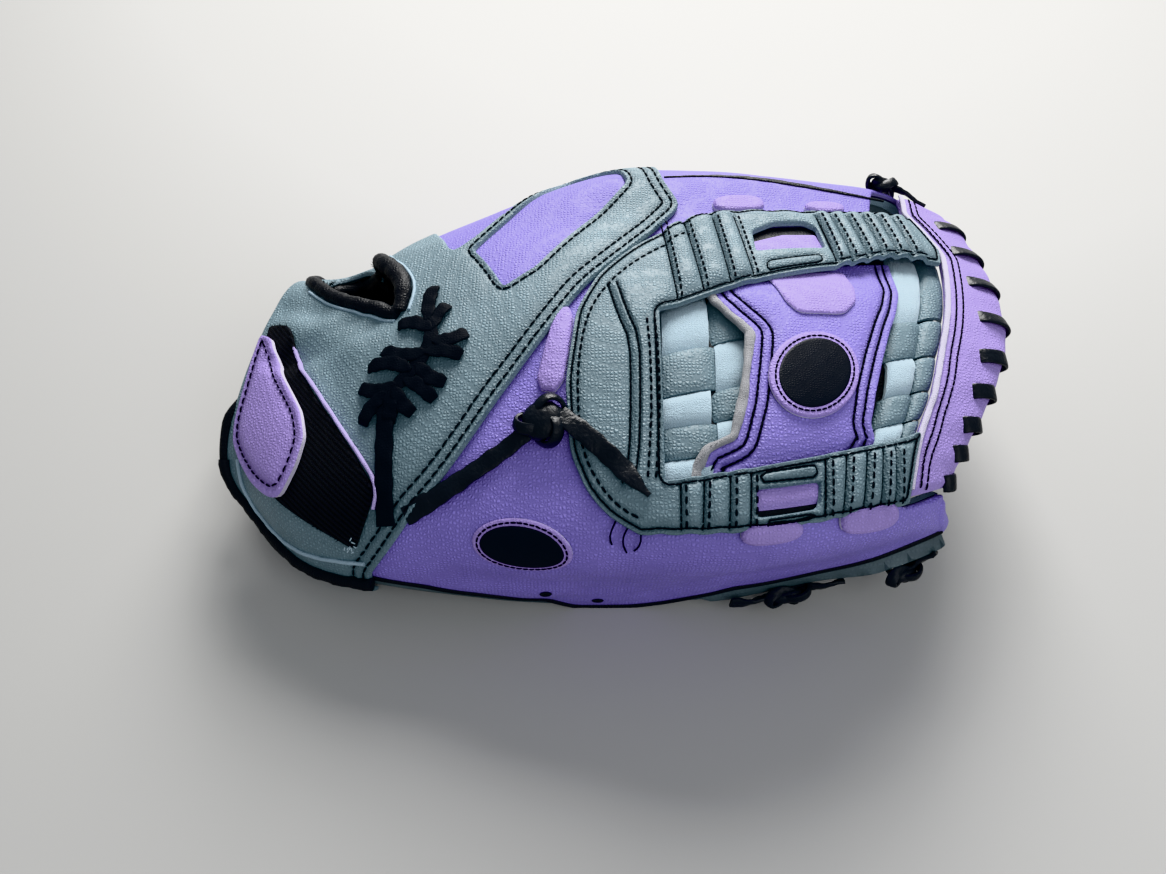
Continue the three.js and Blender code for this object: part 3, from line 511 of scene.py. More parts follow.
def joined(parts):
    """Several verts and faces as one."""
    verts, faces, start = [], [], 0
    for part_verts, part_faces in parts:
        verts.append(part_verts)
        faces += [tuple(start + k for k in face) for face in part_faces]
        start += len(part_verts)
    return np.concatenate(verts), faces


def lace(path, height, width=LACE_WIDTH, thick=LACE, step=1.6, power=3.2, wrinkle=0.18, twist=0.0):
    """A flat lace along (u, v) places. Height, width and thick may be functions of the share of its run."""
    p = resample(path, step)
    t = np.linspace(0, 1, len(p))
    value = lambda x: x(t) if callable(x) else np.full(len(t), float(x))
    ups = normal(*p.T)
    run = unit(np.gradient(skin(*p.T), axis=0))
    side = np.cross(ups, run)
    waver = wrinkle * (np.sin(t * len(p) * 0.9 + p[0, 0] * 7) + 0.6 * np.sin(t * len(p) * 2.3))
    centre = lift(*p.T, value(height) + waver)
    angle = twist * np.sin(t * 9 + p[0, 1] * 5) + 0.1 * np.sin(t * len(p) * 0.7)
    ups = ups * np.cos(angle)[:, None] + side * np.sin(angle)[:, None]
    return sweep(centre, ups, value(width) * (1 + 0.05 * np.sin(t * len(p) * 1.3)), value(thick), power)


def stitches(name, runs, pitch=4.2, length=3.1, wide=0.85):
    """Thread stitches along (path, closed, height) runs, each a small arched bead of thread."""
    rings = np.array([-0.5, -0.4, -0.15, 0.15, 0.4, 0.5])
    girth = np.array([0.3, 0.85, 1.0, 1.0, 0.85, 0.3])
    arch = np.array([-0.8, -0.1, 0.25, 0.25, -0.1, -0.8])
    t = np.linspace(0, 2 * np.pi, 6, endpoint=False)
    bead = np.array([(x, g * math.cos(a) / 2, g * math.sin(a) / 2 + h * 0.5)
                     for x, g, h in zip(rings, girth, arch) for a in t])
    shell = [(i * 6 + k, (i + 1) * 6 + k, (i + 1) * 6 + (k + 1) % 6, i * 6 + (k + 1) % 6)
             for i in range(5) for k in range(6)]
    shell += [tuple(reversed(range(6))), tuple(range(30, 36))]
    verts, faces = [], []
    for path, closed, height in runs:
        p = resample(path, pitch, closed)
        q = np.roll(p, -1, 0) if closed else p[1:]
        p = p if closed else p[:-1]
        at = (p + q) / 2
        h = height(*at.T) if callable(height) else height
        centre = lift(*at.T, h)
        run = unit(skin(*q.T) - skin(*p.T))
        up = normal(*at.T)
        side = unit(np.cross(up, run))
        run = unit(run + side * rng.normal(0, 0.05, (len(at), 1)))
        long = length * (1 + rng.normal(0, 0.05, (len(at), 1, 1)))
        beads = (centre[:, None] + run[:, None] * bead[None, :, :1] * long
                 + side[:, None] * bead[None, :, 1:2] * wide
                 + up[:, None] * bead[None, :, 2:] * THREAD_HEIGHT)
        for one in beads:
            start = len(verts) * 36
            verts.append(one)
            faces += [tuple(start + n for n in face) for face in shell]
    return make(name, np.concatenate(verts), faces, [THREAD], angle=60)


# Materials: how far painted shade darkens the seams' grooves and how far rims wear, and what the ribs' scale
# is divided by
SEAM_SHADE, RIM_WEAR, WAVE_TURN = 0.85, 0.25, 6.2832


def look_of(name, slot, colour, roughness=0.55, cell=1.8, grain=0.35, mottle=0.12, dirt=0.35, sheen=0.0,
            crease=0.0, fibre=0.0, spec=0.5, ribs=0.0):
    """Leather or cloth. Cell is the pebbles' size in mm, and ribs sets how far apart a cloth's ribs are."""
    mat = bpy.data.materials.new(name)
    SLOTS[mat.name] = slot
    mat.use_nodes = True
    nodes, links = mat.node_tree.nodes, mat.node_tree.links
    shader = nodes["Principled BSDF"]
    shader.inputs["Specular IOR Level"].default_value = spec
    shader.inputs["Sheen Weight"].default_value = sheen
    place = nodes.new("ShaderNodeTexCoord").outputs["Object"]

    def plug(socket, value):
        if hasattr(value, "is_linked"):
            links.new(value, socket)
        else:
            socket.default_value = value

    def add(kind, **values):
        node = nodes.new(kind)
        for key, value in values.items():
            if key in node.inputs:
                node.inputs[key].default_value = value
            else:
                setattr(node, key, value)
        return node

    def texture(kind, source=place, **values):
        node = add(kind, **values)
        links.new(source, node.inputs["Vector"])
        return node

    def noise(**values):
        return texture("ShaderNodeTexNoise", **values)

    def maths(operation, a, b):
        node = add("ShaderNodeMath", operation=operation)
        plug(node.inputs[0], a)
        plug(node.inputs[1], b)
        return node.outputs[0]

    def mixed(share, a, b):
        node = add("ShaderNodeMix", data_type="RGBA")
        for socket, value in ((0, share), (6, a), (7, b)):
            plug(node.inputs[socket], value)
        return node.outputs[2]

    def ranged(value, from_min=0.0, from_max=1.0, to_min=0.0, to_max=1.0, **more):
        limits = {"From Min": from_min, "From Max": from_max, "To Min": to_min, "To Max": to_max}
        node = add("ShaderNodeMapRange", **limits, **more)
        links.new(value, node.inputs[0])
        return node.outputs[0]

    warp = noise(Scale=420.0, Detail=2.0)
    pushed = add("ShaderNodeVectorMath", operation="MULTIPLY_ADD")
    plug(pushed.inputs[0], warp.outputs["Color"])
    plug(pushed.inputs[1], (0.0006, 0.0006, 0.0006))
    plug(pushed.inputs[2], place)
    pebble = texture("ShaderNodeTexVoronoi", pushed.outputs[0], feature="DISTANCE_TO_EDGE",
                     Scale=1000.0 / cell, Randomness=0.5)
    scale = ranged(pebble.outputs["Distance"], 0.0, 0.5, interpolation_type="SMOOTHSTEP")
    fine = noise(Scale=2600.0, Detail=3.0, Roughness=0.6).outputs[0]
    wide = noise(Scale=38.0, Detail=6.0, Roughness=0.62).outputs[0]
    scuff = noise(Scale=160.0, Detail=8.0, Roughness=0.7).outputs[0]

    colour = np.array(colour, float)
    # The deep colour is dirt in the scuffs and painted shade in the pebbles' gaps, the ribs' troughs and the
    # seams' grooves
    deep = (*(colour * (1 - dirt)), 1)
    pale = (*np.clip(colour * (1 + mottle) + 0.03 * mottle, 0, 1), 1)
    base = mixed(ranged(wide, 0.36, 0.66), (*(colour * (1 - mottle)), 1), pale)
    # Painted shade: the pebbles' gaps are darkened towards the deep colour
    base = mixed(ranged(scale, to_min=min(1, grain), to_max=0.0), base, deep)
    # Painted light and shade: the ribs' ridges are painted lighter and their troughs darker
    if ribs:
        bands = texture("ShaderNodeTexWave", bands_direction="DIAGONAL", Scale=1000.0 / ribs / WAVE_TURN,
                        Distortion=0.6).outputs["Fac"]
        base = mixed(bands, deep, (*(colour * 2.4), 1))
    base = mixed(ranged(scuff, 0.56, 0.74, to_max=0.4), base, deep)
    # Painted shade: the colour along the seams' grooves is darkened towards the deep colour
    seam = add("ShaderNodeAttribute", attribute_name="seam").outputs["Fac"]
    base = mixed(maths("MULTIPLY", seam, SEAM_SHADE), base, deep)
    rim = add("ShaderNodeAttribute", attribute_name="rim").outputs["Fac"]
    worn = maths("MULTIPLY", maths("SUBTRACT", 1.0, rim), RIM_WEAR)
    base = mixed(maths("MULTIPLY", worn, scuff), base, (*colour, 1))
    links.new(base, shader.inputs["Base Color"])
    gloss = ranged(scuff, to_min=roughness - 0.08, to_max=roughness + 0.14)
    links.new(gloss, shader.inputs["Roughness"])

    height = maths("MULTIPLY", scale, grain)
    if ribs:
        height = maths("ADD", height, bands)
    height = maths("ADD", height, maths("MULTIPLY", fine, 0.08 + fibre))
    if crease:
        stretch = noise(Scale=300.0, Detail=4.0, Distortion=1.2).outputs[0]
        height = maths("ADD", height, maths("MULTIPLY", stretch, crease))
    bump = add("ShaderNodeBump", Strength=0.9, Distance=0.0005)
    links.new(height, bump.inputs["Height"])
    links.new(bump.outputs[0], shader.inputs["Normal"])
    return mat


PURPLE = look_of("purple_leather", "purple_leather", (0.35, 0.285, 0.82), 0.52, 1.45, 0.75, dirt=0.45,
                 spec=0.42)
LILAC = look_of("lilac_leather", "lilac_leather", (0.45, 0.34, 0.78), 0.54, 1.4, 0.65, dirt=0.38, spec=0.4)
GREY = look_of("grey_leather", "grey_leather", (0.225, 0.32, 0.37), 0.5, 1.45, 0.72, mottle=0.16, dirt=0.5,
               spec=0.42)
GREY_PALM = look_of("grey_palm_leather", "grey_leather", (0.11, 0.145, 0.16), 0.58, 1.8, 0.3, mottle=0.22,
                    dirt=0.5)
EDGE_GREY = look_of("grey_raw_edge", "grey_leather", (0.24, 0.32, 0.37), 0.85, 0.9, 0.4, fibre=0.3)
EDGE_PALE = look_of("pale_raw_edge", "white_felt", (0.66, 0.62, 0.78), 0.9, 0.9, 0.35, fibre=0.5, sheen=0.2)
EDGE_LILAC = look_of("lilac_raw_edge", "lilac_leather", (0.50, 0.42, 0.76), 0.85, 0.9, 0.4, fibre=0.4)
EDGE_BEIGE = look_of("beige_raw_edge", "grey_leather", (0.42, 0.42, 0.44), 0.92, 0.8, 0.5, fibre=0.8,
                     sheen=0.2, mottle=0.25)
EDGE_PURPLE = look_of("purple_raw_edge", "purple_leather", (0.22, 0.19, 0.42), 0.85, 0.9, 0.4, fibre=0.3)
BLACK = look_of("black_rawhide", "black_lace", (0.004, 0.006, 0.010), 0.38, 2.2, 0.2, crease=0.6, spec=0.4)
FLAT_LACE = look_of("black_flat_lace", "black_lace", (0.003, 0.0045, 0.008), 0.66, 1.2, 0.2, crease=0.08,
                    spec=0.14)
THREAD = look_of("black_thread", "black_lace", (0.003, 0.004, 0.007), 0.7, 0.6, 0.3, spec=0.1)
ROLL = look_of("black_binding", "black_binding", (0.004, 0.005, 0.008), 0.5, 1.3, 0.4, crease=0.4, spec=0.3)
PATCH = look_of("black_patch", "black_patch", (0.002, 0.004, 0.009), 0.45, 1.0, 0.12, crease=0.1, spec=0.2)
FELT = look_of("white_felt", "white_felt", (0.47, 0.61, 0.70), 0.95, 1.1, 0.3, fibre=0.9, sheen=0.3,
               mottle=0.1, dirt=0.25)
FLEECE = look_of("black_fleece", "loop_fabric", (0.004, 0.004, 0.005), 0.95, 1.2, 0.9, fibre=1.2, sheen=0.1,
                 spec=0.1)
LOOPS = look_of("loop_fabric", "loop_fabric", (0.0055, 0.006, 0.008), 0.95, 0.6, 0.9, fibre=0.9, dirt=0.7,
                sheen=0.08, spec=0.1, ribs=0.8)
PIPING = look_of("pale_piping", "white_felt", (0.36, 0.48, 0.57), 0.6, 1.0, 0.3)
# A sheet's face and its cut edge
PURPLE_CUT, LILAC_CUT = [PURPLE, EDGE_PURPLE], [LILAC, EDGE_PALE]
GREY_CUT, PALM_CUT = [GREY, EDGE_GREY], [GREY_PALM, EDGE_GREY]


# Outlines
def band_u(v):
    """The band's outer line: its station at each v."""
    return read(BAND_EDGE, v)


def under_band(v):
    """Where the shell ends, a little way under the band."""
    return band_u(v) - UNDER_BAND


def web_end(v):
    """Where the web frame ends, just short of the roll along its free edge."""
    return read(WEB_END, v) - WEB_SLACK


def run_of(function, a, b, count):
    """Places on a curve that gives the station for each v."""
    v = np.linspace(a, b, count)
    return np.stack([function(v), v], 1)


def column(u, a, b, count):
    """Places at one station."""
    return run_of(lambda v: np.full(count, float(u)), a, b, count)


def row(u0, u1, line, count, drop=0.0):
    """Places on one line, or on a table that gives the line for each station."""
    u = np.linspace(u0, u1, count)
    return np.stack([u, read(line, u) - drop if isinstance(line, list) else np.full(count, float(line))], 1)


def along_line(u0, u1, line, count):
    """Places on a line that is drawn in with its stall."""
    u = np.linspace(u0, u1, count)
    return np.stack([u, drawn(u, np.full(count, float(line)))], 1)


def inset(outline, step, distance):
    """A closed outline moved inwards."""
    return offset(inward(resample(outline, step, True)), distance, True)


def runs_on(seams, height):
    """Stitch runs along a sheet's seams."""
    return [(path, closed, height) for path, closed, *_ in seams]


def laced(name, path, height, width, thick, look, nodes=(), **form):
    """A piece that is one lace."""
    return make(name, *lace(path, height, width, thick, **form), [look], nodes)


def finger_outline(a, b):
    """A stall's wall between two lines, from under the band to the tip."""
    start = under_band(np.array([a, b]))
    return np.concatenate([
        along_line(start[0], TIP, a, 40),
        column(TIP, float(drawn(TIP, a)), float(drawn(TIP, b)), 6)[1:-1],
        along_line(TIP, start[1], b, 40),
        run_of(under_band, b, a, 8)[1:-1],
    ])


# Shell and stalls
thumb_outline = np.concatenate([
    row(1.37, TIP, THUMB_LOW, 40), column(TIP, 1.06, 1.93, 8), along_line(TIP, 4.16, THUMB_EDGE, 24),
    column(4.15, 2.2, 3.85, 10), run_of(under_band, 3.85, 1.06, 22),
])
thumb = sheet("thumb_back_leather", thumb_outline, -SHELL, 0, PURPLE_CUT, ["thumb_back"], step=3.0)
underside = np.concatenate([row(4.1, TIP, 0, 20), row(TIP, 4.3, THUMB_LOW, 24, BESIDE_SEAM)])
heel_side = np.concatenate([row(1.3, 3.45, 0, 14), row(3.45, 1.3, THUMB_LOW, 16, BESIDE_SEAM)])
sheet("thumb_heel_leather", heel_side, -SHELL, -0.4, PALM_CUT, step=3.0)


def underside_rise(u, v):
    """How far the grey leather under the thumb bulges."""
    below = read(THUMB_LOW, u) - v
    rise = (3.6 + 2.6 * smooth(5.6, 6.6, u)) * smooth(0, 0.17, below)
    return rise * smooth(0, 0.22, v) * smooth(4.2, 5.0, u)


sheet("thumb_underside_leather", underside, -SHELL, -0.4, PALM_CUT, step=3.0, relief=underside_rise)
for finger, a, b in (("index", INDEX_EDGE, 4.995), ("middle", 5.005, 5.995), ("ring", 6.005, 6.995),
                     ("pinky", 7.005, 8.0)):
    piece = sheet(f"{finger}_back_leather", finger_outline(a, b), -SHELL, 0, PURPLE_CUT, [f"{finger}_back"],
                  step=3.4)


def palm_piece():
    """The padded inner wall. Past the crotch it goes on only in the stalls, and not under the web."""
    us = np.concatenate([np.linspace(PALM_START, CROTCH, 40), np.linspace(CROTCH, TIP, 46)[1:]])
    vs = np.concatenate([np.linspace(0, THUMB_EDGE, 25), np.linspace(THUMB_EDGE, INDEX_EDGE, 16)[1:],
                         np.linspace(INDEX_EDGE, 8, 49)[1:]])
    U, V = np.meshgrid(us, vs, indexing="ij")
    pad = 0.7 * np.sin(U * 5.3 + 0.6 * V) * np.sin(V * 3.1) * smooth(0, 0.4, V) * smooth(8, 7.6, V)
    verts = np.stack([palm_face(U, V, np.zeros_like(U)), palm_face(U, V, PALM + pad - 0.4)], 2).reshape(-1, 3)
    rows, cols = U.shape
    mid_u, mid_v = (us[:-1] + us[1:]) / 2, (vs[:-1] + vs[1:]) / 2
    solid = (mid_u[:, None] < CROTCH) | (mid_v < THUMB_EDGE) | (mid_v > INDEX_EDGE)
    at = lambda i, j, side: (i * cols + j) * 2 + side
    held = lambda i, j: 0 <= i < rows - 1 and 0 <= j < cols - 1 and solid[i, j]
    faces, kinds = [], []
    for i, j in np.argwhere(solid).tolist():
        faces.append((at(i, j, 0), at(i + 1, j, 0), at(i + 1, j + 1, 0), at(i, j + 1, 0)))
        faces.append((at(i, j, 1), at(i, j + 1, 1), at(i + 1, j + 1, 1), at(i + 1, j, 1)))
        kinds += [2, 0]
        for di, dj, p, q in ((0, -1, (i, j), (i + 1, j)), (0, 1, (i + 1, j + 1), (i, j + 1)),
                             (-1, 0, (i, j + 1), (i, j)), (1, 0, (i + 1, j), (i + 1, j + 1))):
            if not held(i + di, j + dj):
                faces.append((at(*q, 0), at(*p, 0), at(*p, 1), at(*q, 1)))
                kinds.append(1)
    edge = np.minimum(np.minimum(V, 8 - V) * 20, (U - PALM_START) * 20)
    marks = {"rim": np.repeat(np.clip(edge / 6, 0, 1).ravel(), 2), "seam": np.zeros(rows * cols * 2)}
    return make("palm_leather", verts, faces, [GREY_PALM, EDGE_GREY, FLEECE],
                ["palm_heel_near", "palm_heel_top", "palm_heel_far", "palm_thumb", "palm_upper_fingers",
                 "palm_lower_fingers"], kinds=kinds, marks=marks)


palm_piece()

# Wrist panel with the band, its window and the finger hole
panel_outline = np.concatenate([
    row(0, 1.6, 0, 6),
    eased(run_of(band_u, 0, 4.9, 60)),
    eased([[4.3, 4.94], [4.14, 5.03], [3.9, 5.1], [3.45, 5.08], [3.2, 4.78], [2.82, 4.33], [2.52, 4.0],
           [2.4, 3.97], [2.3, 4.3], [2.18, 4.8], [2.1, 5.6], [2.04, 6.6], [2, 8]], 1),
    row(1.98, 0, 8, 6),
    column(0, 7.95, 0.05, 60),
])
window = cornered(BAND_WINDOW, 3.0)
hole = eased(FINGER_HOLE, 2, True)
band_path = eased(run_of(band_u, 0.1, 4.84, 70))
band_seams = [(offset(band_path, 3.0), False), (offset(band_path, 7.2), False),
              (offset(inward(window), -2.8, True), True)]
sheet("wrist_panel_leather", panel_outline, ON_SHELL, PANEL_TOP, GREY_CUT, ["wrist_panel"],
      holes=[window, hole], seams=band_seams, step=3.0, groove=0.8)
yoke = [[2.0, 4.1], [2.45, 3.75], [2.85, 3.36], [3.2, 3.48], [4.1, 4.3], [4.26, 4.6], [4.16, 4.9],
        [3.83, 5.2], [3.4, 5.3], [2.73, 5.45], [2.13, 5.6], [1.9, 5.65], [1.85, 5.0]]
sheet("back_yoke_leather", yoke, -SHELL - GAP, -GAP, PURPLE_CUT, ["band_window"], bulge=1.4)
stitches("band_stitching", runs_on(band_seams, PANEL_TOP - 0.45), length=3.7, wide=0.95)

lining = np.concatenate([row(0.1, 1.2, 0.3, 5), run_of(lambda v: band_u(v) - 0.45, 0.3, 7.7, 60),
                         row(1.5, 0.1, 7.7, 5), column(0.1, 7.6, 0.4, 50)])
sheet("hand_lining", lining, -4.4, -3.1, [FLEECE, FLEECE], holes=[hole], step=4.5)

# Finger hole: two padded rolls that meet in corners, with pale piping round them
hole_left = eased([[1.98, 3.4], [1.3, 3.66], [0.85, 3.93], [0.28, 4.38], [0.12, 4.9], [0.38, 5.45],
                   [0.95, 5.6]])
hole_right = eased([[1.98, 3.42], [2.02, 3.62], [1.86, 3.88], [1.64, 4.14], [1.5, 4.6], [1.36, 5.1],
                    [0.95, 5.6]])
hole_height = ON_SHELL + PANEL / 2 + 1.3
roll_form = dict(wrinkle=0.25, power=2.1)
rolls = [lace(hole_left, lambda t: hole_height - 6.5 * smooth(0.66, 0.84, t), 6.6, 6.2, **roll_form),
         lace(hole_right, lambda t: hole_height + 1.4 * np.sin(np.pi * np.clip(t * 1.6, 0, 1))
              - 6.5 * smooth(0.66, 0.9, t),
              lambda t: 6.6 + 1.8 * np.sin(np.pi * np.clip(t * 1.5, 0, 1)), 6.4, **roll_form)]
make("finger_hole_roll", *joined(rolls), [ROLL], ["finger_hole_rim"])
piping = [lace(path, PANEL_TOP + 0.2, 1.4, 1.4, wrinkle=0.05, power=2.0)
          for path in (offset(hole_left[:-13], 4.0), offset(hole_right[:-9], -4.6))]
make("finger_hole_piping", *joined(piping), [PIPING])


def fuzz(name, paths, count, long, look):
    """Short loose fibres that stand up along (path, height) pairs."""
    verts, faces = [], []
    for path, height in paths:
        places = resample(path, 1.0)
        for p in places[rng.integers(0, len(places), count)]:
            root = lift(p[0], p[1], height)
            lean = rng.normal(0, 1, 3) + normal(p[0], p[1]) * 1.6
            tip = root + unit(lean) * long * rng.uniform(0.4, 1.2)
            spread = rng.normal(0, 0.16, (3, 3))
            start = len(verts)
            verts += [*(root + spread), tip]
            faces += [tuple(start + n for n in face) for face in ((0, 1, 3), (1, 2, 3), (2, 0, 3), (2, 1, 0))]
    return make(name, verts, faces, [look])


fuzz("finger_hole_fleece_fibres", [(offset(hole_left[4:-4], -3.0), hole_height - 0.5),
                                   (offset(hole_right[4:-4], 3.0), hole_height - 0.5)], 260, 3.0, FLEECE)

# Wrist binding with its piping
bind_v = np.linspace(0, 8, 110)
bind_u = np.zeros_like(bind_v)
bind_up = normal(bind_u, bind_v)
bind_rim = unit(skin(0, bind_v + 0.05) - skin(0, bind_v - 0.05))
bind_back = unit(np.cross(bind_up, bind_rim))
bind_along = skin(0.05, bind_v) - skin(-0.05, bind_v)
bind_back *= -np.sign((bind_back * bind_along).sum(-1, keepdims=True))
tucked = smooth(2.5, 2.9, bind_v) * smooth(5.2, 4.6, bind_v)
bind_at = lift(bind_u, bind_v, ON_SHELL + PANEL / 2 - 3.6 * tucked)
bind_at = bind_at + bind_back * (1.8 - 3.4 * tucked)[:, None]
bind_at[:, 2] = np.maximum(bind_at[:, 2], 3.1)
fat = 6.0 + 0.4 * np.sin(bind_v * 5.1)
make("wrist_binding_roll", *sweep(bind_at, bind_up, fat, fat, 2.1, sides=14), [ROLL],
               ["wrist_binding"])
hem_roll = eased([[0.0, 2.0], [-0.02, 1.4], [0.06, 1.02], [0.34, 0.86], [0.8, 0.88], [1.25, 0.98],
                  [1.8, 1.02]])
laced("wrist_hem_roll", hem_roll, PANEL_TOP + 0.6, 5.4, 5.4, ROLL, wrinkle=0.2, power=2.1)
hem_piping = eased([[0.22, 2.1], [0.28, 1.6], [0.36, 1.3], [0.62, 1.22], [1.0, 1.28], [1.4, 1.36],
                    [1.78, 1.4]])
laced("wrist_piping", hem_piping, PANEL_TOP + 0.3, 1.8, 1.6, PIPING, wrinkle=0.1, power=2.0)

# Wrist closure
sheet("hook_and_loop_patch", cornered(LOOP_PATCH, 3.0), ON_PANEL, PATCH_TOP, [LOOPS, LOOPS], ["loop_patch"],
      step=2.0)
strap_edge = eased([[0.74, 3.24], [0.86, 3.07], [1.13, 2.86], [1.5, 2.56], [1.8, 2.34], [1.98, 2.17],
                    [1.94, 2.0]])
laced("strap_raw_edge", strap_edge, ON_PANEL + 0.7, 1.5, 2.2, EDGE_LILAC, wrinkle=0.12)
fuzz("loop_patch_fibres", [(inset(LOOP_PATCH, 2.0, 0.6), PATCH_TOP - 0.3)], 320, 1.5, LOOPS)
tab_outline = cornered(STRAP_TAB, 4.0)
tab_seams = [(inset(tab_outline, 2.5, 3.2), True)]
sheet("strap_tab_leather", tab_outline, ON_PATCH, TAB_TOP, LILAC_CUT, ["strap_tab"], seams=tab_seams,
      step=2.2, bulge=0.5, edge_share=0.8)
stitches("strap_tab_stitching", runs_on(tab_seams, TAB_TOP + 0.1), pitch=3.6, length=2.8)

# Web
slots = [cornered(slot, 2.0) for slot in RAIL_SLOTS]
web_outline = np.concatenate([
    [[u, 2.0 - 0.014 * abs(math.sin(u * 14))] for u in np.linspace(4.1, 6.57, 60)],
    run_of(web_end, 2.0, 2.41, 4), row(6.72, 4.3, NEAR_RAIL_INSIDE, 14), row(4.3, 7.32, FAR_RAIL_INSIDE, 16),
    run_of(web_end, 3.5, 4.0, 5)[1:],
    [[u, 3.98 + 0.03 * abs(math.sin(u * 11))] for u in np.linspace(7.2, 4.9, 60)],
    eased(run_of(lambda v: read(BASE_EDGE, v), 4.0, 2.0, 24), 1)[1:-1],
])
lobe_dash = [[4.66, 3.76], [4.16, 3.6], [3.86, 3.4], [3.68, 3.2], [3.6, 2.9], [3.6, 2.66], [3.64, 2.44],
             [3.78, 2.28], [3.94, 2.16], [4.1, 2.1]]
lobe_ridge = [[3.9, 3.4], [3.98, 3.18], [4.08, 3.0], [4.08, 2.7], [4.06, 2.4], [4.0, 2.28]]
lobe_pair = [[4.22, 3.12], [4.24, 2.9], [4.24, 2.64], [4.22, 2.46], [4.2, 2.3]]
# Each rail's ribs as stations at its two sides, and the lines of those sides
FAR_RIBS = [(4.38, 4.46), (4.6, 4.7), (4.88, 4.95), (5.08, 5.16), (5.84, 5.92), (5.98, 6.1), (6.18, 6.3),
            (6.4, 6.52), (6.62, 6.74), (6.86, 6.97), (7.08, 7.16)]
NEAR_RIBS = [(4.42, 4.42), (4.6, 4.58), (4.8, 4.78), (4.96, 4.94), (5.54, 5.52), (5.72, 5.67), (5.92, 5.86),
             (6.1, 6.06), (6.27, 6.26), (6.42, 6.44)]
FAR_SPAN, NEAR_SPAN = (3.9, 3.3), (2.34, 2.02)


def rib_seam(a, b, span, table, gap):
    """One rib's pressed line. It ends just short of the rail's inner edge."""
    inner = read(table, b) + gap
    share = (span[0] - inner) / (span[0] - span[1])
    if span is NEAR_SPAN:
        ends = (a, min(span[0], inner)), (b, span[1])
    else:
        ends = (a, span[0]), (a + (b - a) * share, inner)
    return np.linspace(*ends, 6), False, 1.0, 0.9


def puffs(u, v, ribs, span):
    """The padded rolls between a rail's ribs, 0 at each rib and 1 half way to the next."""
    lines = np.array([a + (b - a) * (span[0] - v) / (span[0] - span[1]) for a, b in ribs]).T
    k = np.clip((u[:, None] > lines).sum(1), 1, len(ribs) - 1)
    rows = np.arange(len(u))
    a, b = lines[rows, k - 1], lines[rows, k]
    t = np.clip((u - a) / (b - a), 0, 1)
    return (1 - np.abs(2 * t - 1) ** 2.4) * np.where(b - a > 0.4, 0.4, 1)


def frame_rise(u, v):
    """The web frame's own folds: the rails' rolls and the lip on its base."""
    far = puffs(u, v, FAR_RIBS, FAR_SPAN) * smooth(3.26, 3.4, v) * smooth(4.0, 3.9, v) * (v > 3)
    near = puffs(u, v, NEAR_RIBS, NEAR_SPAN) * smooth(2.0, 2.06, v) * smooth(2.42, 2.3, v)
    ridge_u, ridge_v = np.array(lobe_ridge[::-1]).T
    ridge = np.interp(v, ridge_v, ridge_u)
    lip = smooth(ridge - 0.02, ridge + 0.05, u) * smooth(4.5, 4.3, u)
    lip = lip * smooth(2.2, 2.3, v) * smooth(3.5, 3.3, v)
    return 2.3 * far + 1.9 * near + 1.5 * lip


def over_frame(up):
    """A height above the web frame, folds and all."""
    return lambda u, v: WEB_TOP + up + frame_rise(u, v)


edge_seams = [(inset(web_outline, 2.5, 2.0), True, 0.9, 1.1)]
rib_seams = [rib_seam(a, b, FAR_SPAN, FAR_RAIL_INSIDE, 0.04) for a, b in FAR_RIBS[:-1]]
rib_seams += [rib_seam(a, b, NEAR_SPAN, NEAR_RAIL_INSIDE, -0.025) for a, b in NEAR_RIBS[:-1]]
bars = [[[5.27, 3.38], [5.76, 3.45], [5.77, 3.51], [5.28, 3.45]],
        [[5.03, 2.255], [5.47, 2.25], [5.47, 2.31], [5.03, 2.3]],
        [[5.05, 2.025], [5.45, 2.025], [5.45, 2.055], [5.05, 2.055]]]
bar_seams = [(cornered(bar, 3.0), True, 0.9, 0.8) for bar in bars]
pair_seams = [(offset(eased(lobe_pair, 1), d), False, 0.6, 1.0) for d in (-1.5, 1.5)]
ridge_seams = [(offset(eased(lobe_ridge, 1), d), False, 1.3, 0.8) for d in (-1.8, 1.8)]
dash_seam = [(eased(lobe_dash), False, 0.6, 1.1)]
sheet("web_frame_leather", web_outline, ON_SHELL, WEB_TOP, GREY_CUT, ["web_frame"], holes=slots,
                seams=edge_seams + rib_seams + pair_seams + ridge_seams + dash_seam + bar_seams,
                step=1.9, relief=frame_rise, bulge=0.6, bulge_reach=6)
rib_runs = [(offset(path, 1.9), closed, over_frame(0.55)) for path, closed, *_ in rib_seams]
stitches("web_stitching", rib_runs + runs_on(pair_seams + dash_seam, over_frame(0.2)), pitch=3.7, length=2.7,
         wide=1.0)
stitches("web_edge_stitching", runs_on(edge_seams + ridge_seams + rib_seams + bar_seams, over_frame(-0.25)),
         pitch=2.6, length=3.0, wide=0.8)

# Each rail's strip behind its slot, and a black sheet under the slot that paints the shadow in the gap it
# leaves
for side, slot, strip in (
        ("near", slots[0], [[4.96, 2.115], [4.96, 2.25], [5.53, 2.25], [5.51, 2.112]]),
        ("far", slots[1], [[5.18, 3.52], [5.2, 3.67], [5.5, 3.745], [5.8, 3.75], [5.87, 3.55]])):
    # A black sheet under the slot: painted shadow in the gap
    sheet(f"rail_window_{side}_gap", offset(inward(slot), -1.5, True), 0.05, 0.35, [ROLL, ROLL], step=2.4)
    sheet(f"rail_window_{side}", strip, 0.4, 0.75, [LILAC, EDGE_LILAC], [f"rail_insert_{side}"], step=1.8,
          bulge=1.3, bulge_reach=3)


def panel_rise(u, v):
    """The centre panel's own puff, which its patch and flap follow."""
    puff = 2.6 * smooth(2.34, 2.62, v) * smooth(3.42, 3.16, v) * smooth(4.6, 5.2, u) * smooth(6.7, 6.1, u)
    return puff - 1.2 * smooth(3.26, 3.44, v) - 1.6 * smooth(2.44, 2.34, v)


